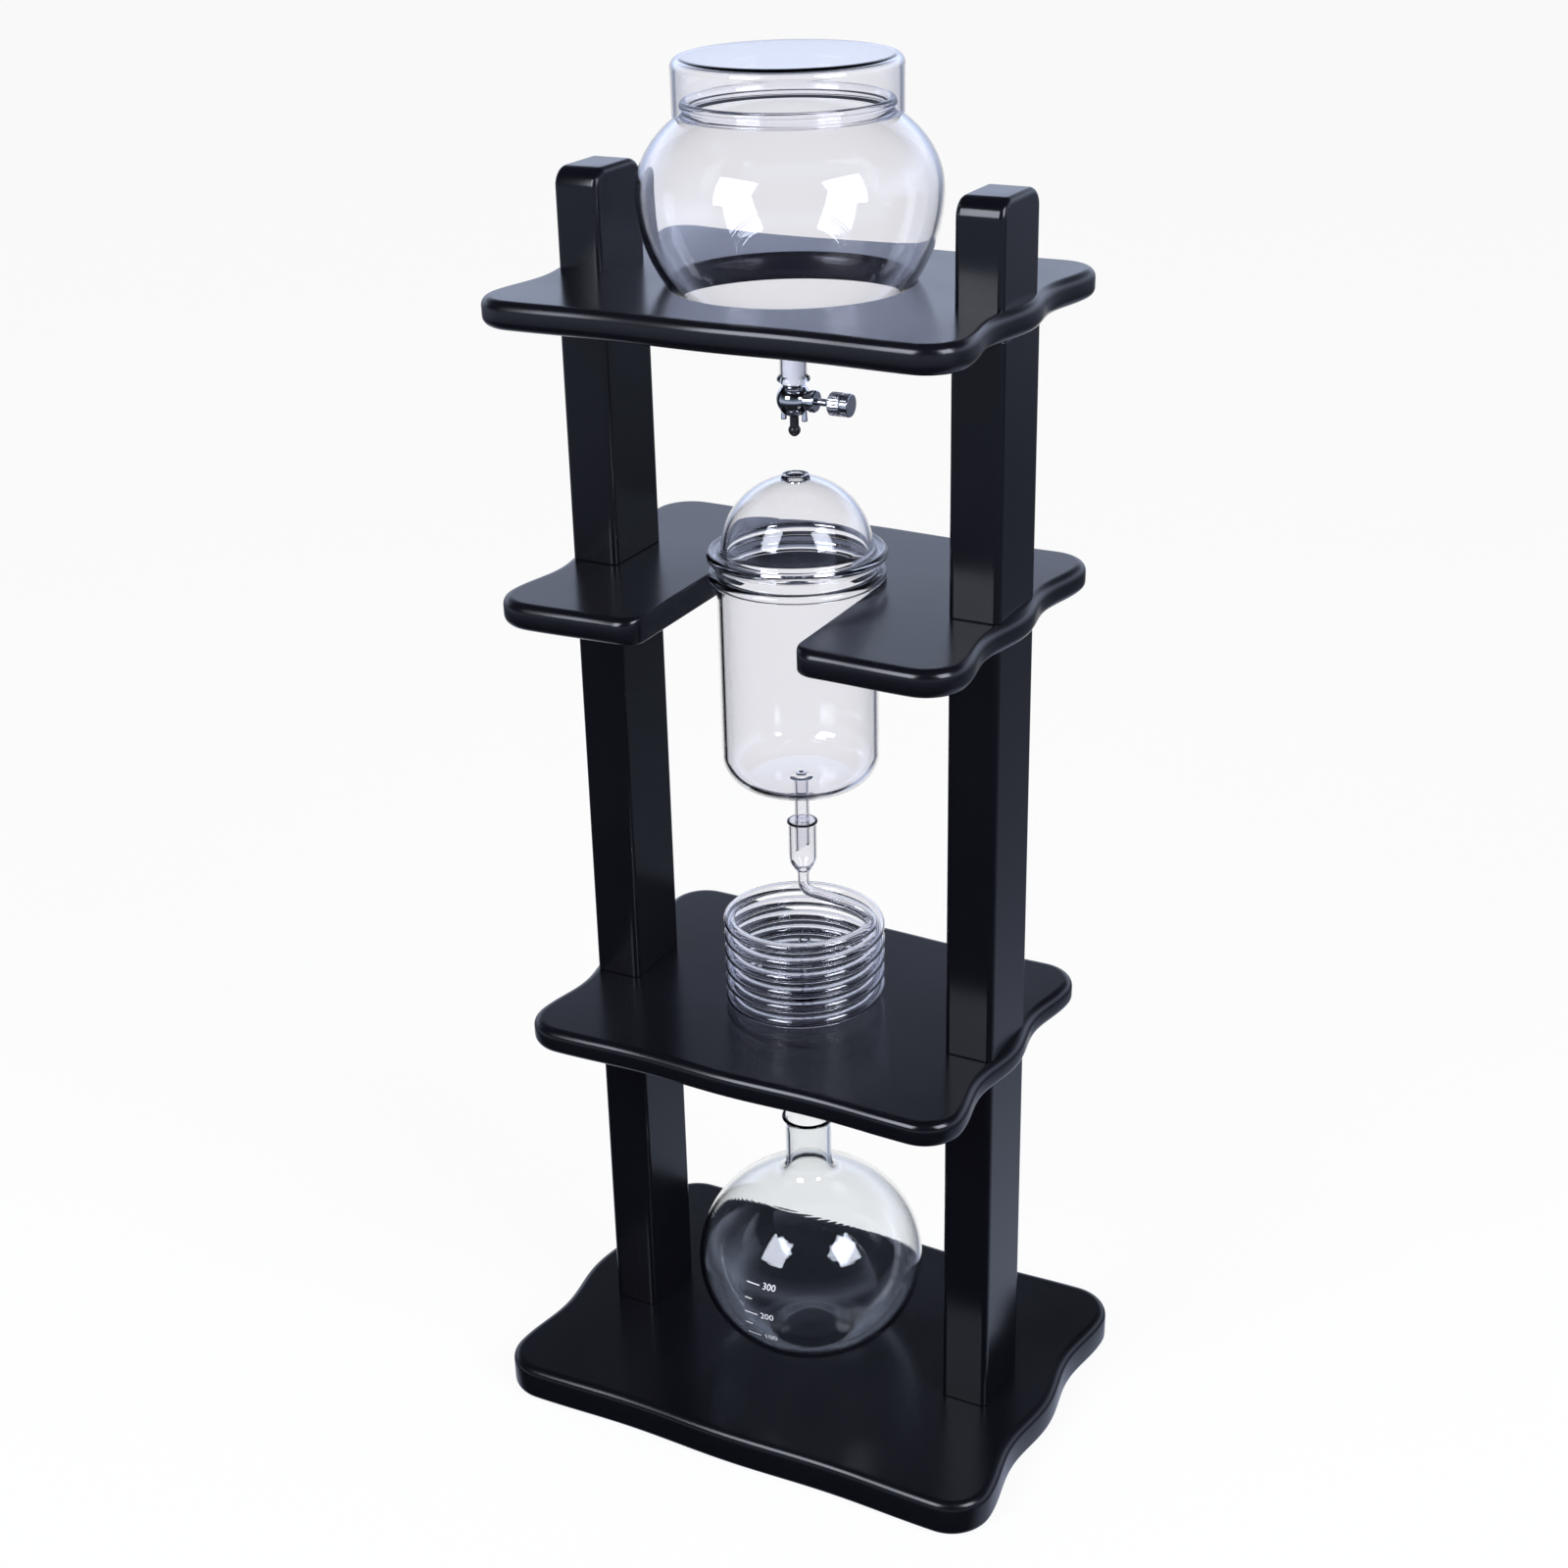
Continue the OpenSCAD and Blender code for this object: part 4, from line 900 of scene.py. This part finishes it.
def flaskSolid():
    low, high = corners("flask")
    r, half, wall, neck = high[0], flask["halfHeight"], flask["wall"], flask["neck"]
    rim, flare, lip = flask["rim"], flask["flare"], flask["wall"] / 2
    footAt = angleAt(flask["foot"], r)
    middleZ = low[2] + half * math.sin(math.radians(footAt))
    shoulderR = neck + flask["shoulder"]
    shoulderAt = angleAt(shoulderR, r)
    shoulderZ = middleZ + half * math.sin(math.radians(shoulderAt))
    innerR, innerHalf, innerNeck = r - wall, half - wall, neck - wall
    floorZ, neckFoot = low[2] + wall, shoulderZ + 8
    floorAt = math.degrees(math.asin((middleZ - floorZ) / innerHalf))
    innerShoulder = angleAt(shoulderR - lip, innerR)
    footIn, rows = flask["foot"] - 1.5, flask["rows"]
    outside = [
        [[0, low[2] + 1.2]],
        bendPoints((footIn - 8, low[2] + 1.0), (footIn - 2, low[2] + 0.1), (footIn, low[2]), 8),
        bendPoints((footIn + 0.4, low[2]), (flask["foot"] + 0.4, low[2] + 0.1),
                   pointAt(middleZ, (r, half), 2 - footAt), 6),
        arcPoints((0, middleZ), (r, half), 3 - footAt, shoulderAt - 1, rows),
        bendPoints((shoulderR - 0.2, shoulderZ + 0.1), (neck, shoulderZ + 2.6), (neck, neckFoot), 14),
        bendPoints((neck, high[2] - flare), (neck, high[2] - flare / 2), (rim, high[2] - lip), 10),
        arcPoints((rim - lip, high[2] - lip), lip, 20, 180, 12),
    ]
    inside = [
        bendPoints((rim - 2 * lip - 0.3, high[2] - lip - 0.4), (innerNeck, high[2] - flare / 2),
                   (innerNeck, high[2] - flare), 8),
        bendPoints((innerNeck, neckFoot), (innerNeck, shoulderZ + 1.2),
                   pointAt(middleZ, (innerR, innerHalf), innerShoulder), 12),
        arcPoints((0, middleZ), (innerR, innerHalf), innerShoulder - 1, -floorAt, rows),
        [[0, floorZ + 0.8]],
    ]
    profile = np.vstack([eased(np.vstack(outside)), eased(np.vstack(inside))])
    return solid(spun(profile)), middleZ


def onFlask(across, up, middleZ):
    # a flat pattern wrapped on the flask: across is an arc length, up a height from the widest part
    r, half = corners("flask")[1][0] + flask["proud"], flask["halfHeight"] + flask["proud"]
    radius = r * np.sqrt(1 - (up / half) ** 2)
    angle = math.radians(flask["markAt"]) + across / radius
    return np.column_stack([radius * np.cos(angle), radius * np.sin(angle), middleZ + up])


def tick(up, width, middleZ):
    # a thin strip, two rows of points
    count, half = flask["markPoints"], flask["markThick"] / 2
    across = np.linspace(0, width, count)
    lower = onFlask(across, np.full(count, up - half), middleZ)
    upper = onFlask(across, np.full(count, up + half), middleZ)
    faces = [[i, i + 1, i + 1 + count, i + count] for i in range(count - 1)]
    return np.vstack([lower, upper]), faces, 1


def digits(number, up, middleZ):
    # outlines of plain digits, filled flat and then wrapped
    words = bpy.data.curves.new("digits", "FONT")
    words.body, words.align_y = str(number), "CENTER"
    words.size = flask["digit"] * flask["fontPerDigit"]
    words.resolution_u = 3
    holder = bpy.data.objects.new("digits", words)
    mesh = bpy.data.meshes.new_from_object(holder)
    points = np.empty(len(mesh.vertices) * 3)
    mesh.vertices.foreach_get("co", points)
    points = points.reshape(-1, 3)
    faces = [list(face.vertices) for face in mesh.polygons]
    bpy.data.objects.remove(holder)
    across = points[:, 0] + flask["markWidth"] + flask["digitGap"]
    return onFlask(across, points[:, 1] + up, middleZ), faces, 1


bottle, widestZ = flaskSolid()
heights = [up for number, up in flask["marks"]]
shortWidth = flask["markWidth"] * flask["shortMark"]
marks = [tick(up, flask["markWidth"], widestZ) for up in heights]
marks += [tick((upper + lower) / 2, shortWidth, widestZ) for upper, lower in zip(heights, heights[1:])]
marks += [digits(number, up, widestZ) for number, up in flask["marks"]]
addPiece("flask_glass", [bottle] + marks, [flaskGlass, enamel], "flask", ["flask"],
         castsShadow=False)
print("flask made")


# finishes of the frame's own pieces that stay
staying = {
    "left_tie_rod": drawnSteel, "right_tie_rod": drawnSteel,
    "rod_nuts": drawnSteel, "rod_washers": drawnSteel,
    "finial_inserts": brass, "stem_seal": sealRubber, "valve_needle": chrome,
}
for node, material in staying.items():
    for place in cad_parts[node].material_slots:
        place.material = material
print("fasteners finished")


studio = {
    "floor": 14.0,  # metres across
    "floorColour": (0.86, 0.86, 0.87),
    "floorGlow": 0.92,  # share of plain white that the eye sees in the floor
    "plain": (0.40, 0.405, 0.42),  # light that falls on everything from all round
    "shine": (1.0, 1.13, 1.48),  # tint of what shiny pieces see
    # how bright it is, by the height of a direction from -1 to 1, behind the tower and before it
    "behind": ((-1.0, 0.3), (-0.62, 0.5), (-0.45, 0.16), (-0.3, 0.08), (-0.15, 0.25), (0.05, 0.6),
               (0.13, 0.7), (0.21, 1.0), (0.30, 0.85), (0.38, 0.62), (0.46, 0.32), (0.54, 0.16),
               (0.64, 0.05), (1.0, 0.03)),
    "before": ((-1.0, 0.01), (-0.36, 0.02), (-0.16, 0.5), (0.02, 0.2), (0.25, 0.03), (1.0, 0.02)),
    "turnover": (-0.25, 0.35),  # where before gives way to behind, along Y
    "whiteFrom": (0.86, 0.97),  # cosines of angles from the line of sight
    # degrees from -Y, distance, height and watts of each soft box
    "boxes": ((-17, 1.35, 1.15, 20.0), (73, 1.35, 1.15, 20.0)),
    "boxColour": (0.84, 0.88, 1.0),
    "boxSize": (0.70, 0.90),
    "aim": 0.30,  # height that the soft boxes look at
}
view = {
    "place": (0.45499, -0.86704, 0.75746),  # metres
    "turn": 28.343, "down": 24.71, "roll": -1.412,
    "lens": 55.138, "sensor": 36, "shift": (0.00449, 0.01119),
}


def rayShares(tree):
    # the first is one where the eye, straight or through glass, looks at the background; the second
    # is one for all that is seen by way of a shiny surface; both are nothing for plain light
    path = tree.nodes.new("ShaderNodeLightPath")
    straight = tree.nodes.new("ShaderNodeMath")
    shiny = tree.nodes.new("ShaderNodeMath")
    eye = tree.nodes.new("ShaderNodeMath")
    straight.operation, shiny.operation, eye.operation = "ADD", "MINIMUM", "SUBTRACT"
    shiny.inputs[1].default_value = 1.0
    eye.use_clamp = True
    tree.links.new(path.outputs["Is Camera Ray"], straight.inputs[0])
    tree.links.new(path.outputs["Is Transmission Ray"], straight.inputs[1])
    tree.links.new(path.outputs["Glossy Depth"], shiny.inputs[0])
    tree.links.new(straight.outputs["Value"], eye.inputs[0])
    tree.links.new(shiny.outputs["Value"], eye.inputs[1])
    return eye.outputs["Value"], shiny.outputs["Value"]


def brightness(tree, height, stops):
    # a curve through the stops, from the height of a direction
    share = tree.nodes.new("ShaderNodeMapRange")
    share.inputs["From Min"].default_value = -1.0
    tree.links.new(height, share.inputs["Value"])
    ramp = tree.nodes.new("ShaderNodeValToRGB")
    points = ramp.color_ramp.elements
    while len(points) < len(stops):
        points.new(1.0)
    for point, (at, level) in zip(points, stops):
        point.position, point.color = (at + 1) / 2, (level, level, level, 1)
    tree.links.new(share.outputs["Result"], ramp.inputs["Fac"])
    return ramp.outputs["Color"]


def smoothly(tree, value, limits):
    # nothing below the first limit, one above the second, and a soft step between them
    node = tree.nodes.new("ShaderNodeMapRange")
    node.interpolation_type = "SMOOTHSTEP"
    node.inputs["From Min"].default_value, node.inputs["From Max"].default_value = limits
    tree.links.new(value, node.inputs["Value"])
    return node.outputs["Result"]


def makeWorld():
    world = bpy.data.worlds.new("studio")
    world.use_nodes = True
    bpy.context.scene.world = world
    tree = world.node_tree
    nodes, links = tree.nodes, tree.links
    place = nodes.new("ShaderNodeTexCoord")
    split = nodes.new("ShaderNodeSeparateXYZ")
    links.new(place.outputs["Generated"], split.inputs["Vector"])
    side = smoothly(tree, split.outputs["Y"], studio["turnover"])
    level = mixed(tree, side, brightness(tree, split.outputs["Z"], studio["before"]),
                  brightness(tree, split.outputs["Z"], studio["behind"]))
    shine = mixed(tree, level, (0.0, 0.0, 0.0), studio["shine"])
    # straight away from the eye the surroundings are white
    ahead = nodes.new("ShaderNodeVectorMath")
    ahead.operation = "DOT_PRODUCT"
    turn, down = math.radians(view["turn"]), math.radians(view["down"])
    flat = math.cos(down)
    ahead.inputs[1].default_value = (-math.sin(turn) * flat, math.cos(turn) * flat, -math.sin(down))
    links.new(place.outputs["Generated"], ahead.inputs[0])
    straight = smoothly(tree, ahead.outputs["Value"], studio["whiteFrom"])
    white = (1.0, 1.0, 1.0)
    shine = mixed(tree, straight, shine, white)
    eye, shiny = rayShares(tree)
    light = mixed(tree, shiny, studio["plain"], shine)
    links.new(mixed(tree, eye, light, white), nodes["Background"].inputs["Color"])


def makeFloor():
    half = studio["floor"] / 2
    mesh = bpy.data.meshes.new("floor")
    points = [(-half, -half, 0), (half, -half, 0), (half, half, 0), (-half, half, 0)]
    mesh.from_pydata(points, [], [(0, 1, 2, 3)])
    floor = placed("floor", mesh)
    material, shader = startMaterial("pale_floor", studio["floorColour"], 0.9)
    nodes, links = material.node_tree.nodes, material.node_tree.links
    glow = nodes.new("ShaderNodeEmission")
    share = nodes.new("ShaderNodeMath")
    share.operation = "MULTIPLY"
    share.inputs[1].default_value = studio["floorGlow"]
    eye, shiny = rayShares(material.node_tree)
    links.new(eye, share.inputs[0])
    # shiny pieces look through the floor at the lower half of the world
    clear = nodes.new("ShaderNodeBsdfTransparent")
    surface = shader.outputs["BSDF"]
    for factor, over in ((share.outputs["Value"], glow.outputs["Emission"]), (shiny, clear.outputs["BSDF"])):
        mix = nodes.new("ShaderNodeMixShader")
        links.new(factor, mix.inputs["Fac"])
        links.new(surface, mix.inputs[1])
        links.new(over, mix.inputs[2])
        surface = mix.outputs["Shader"]
    links.new(surface, nodes["Material Output"].inputs["Surface"])
    mesh.materials.append(material)


def addSoftbox(name, degrees, distance, height, watts):
    # a rectangle of light that looks at the middle of the tower
    lamp = bpy.data.lights.new(name, "AREA")
    lamp.shape, lamp.size, lamp.size_y = "RECTANGLE", *studio["boxSize"]
    lamp.energy, lamp.color = watts, studio["boxColour"]
    a = math.radians(degrees)
    holder = placed(name, lamp)
    holder.location = (distance * math.sin(a), -distance * math.cos(a), height)
    tilt = math.atan2(distance, height - studio["aim"])
    holder.rotation_euler = (tilt, 0, a)


def addCamera():
    data = bpy.data.cameras.new("camera")
    data.lens, data.sensor_width = view["lens"], view["sensor"]
    data.shift_x, data.shift_y = view["shift"]
    camera = placed("camera", data)
    turn = Matrix.Rotation(math.radians(view["turn"]), 4, "Z")
    down = Matrix.Rotation(math.radians(90 - view["down"]), 4, "X")
    roll = Matrix.Rotation(math.radians(view["roll"]), 4, "Z")
    camera.matrix_world = Matrix.Translation(view["place"]) @ turn @ down @ roll
    bpy.context.scene.camera = camera


makeWorld()
makeFloor()
for i, box in enumerate(studio["boxes"]):
    addSoftbox(f"softbox_{i + 1}", *box)
addCamera()
bpy.context.scene.view_settings.view_transform = "Standard"
print("studio set")
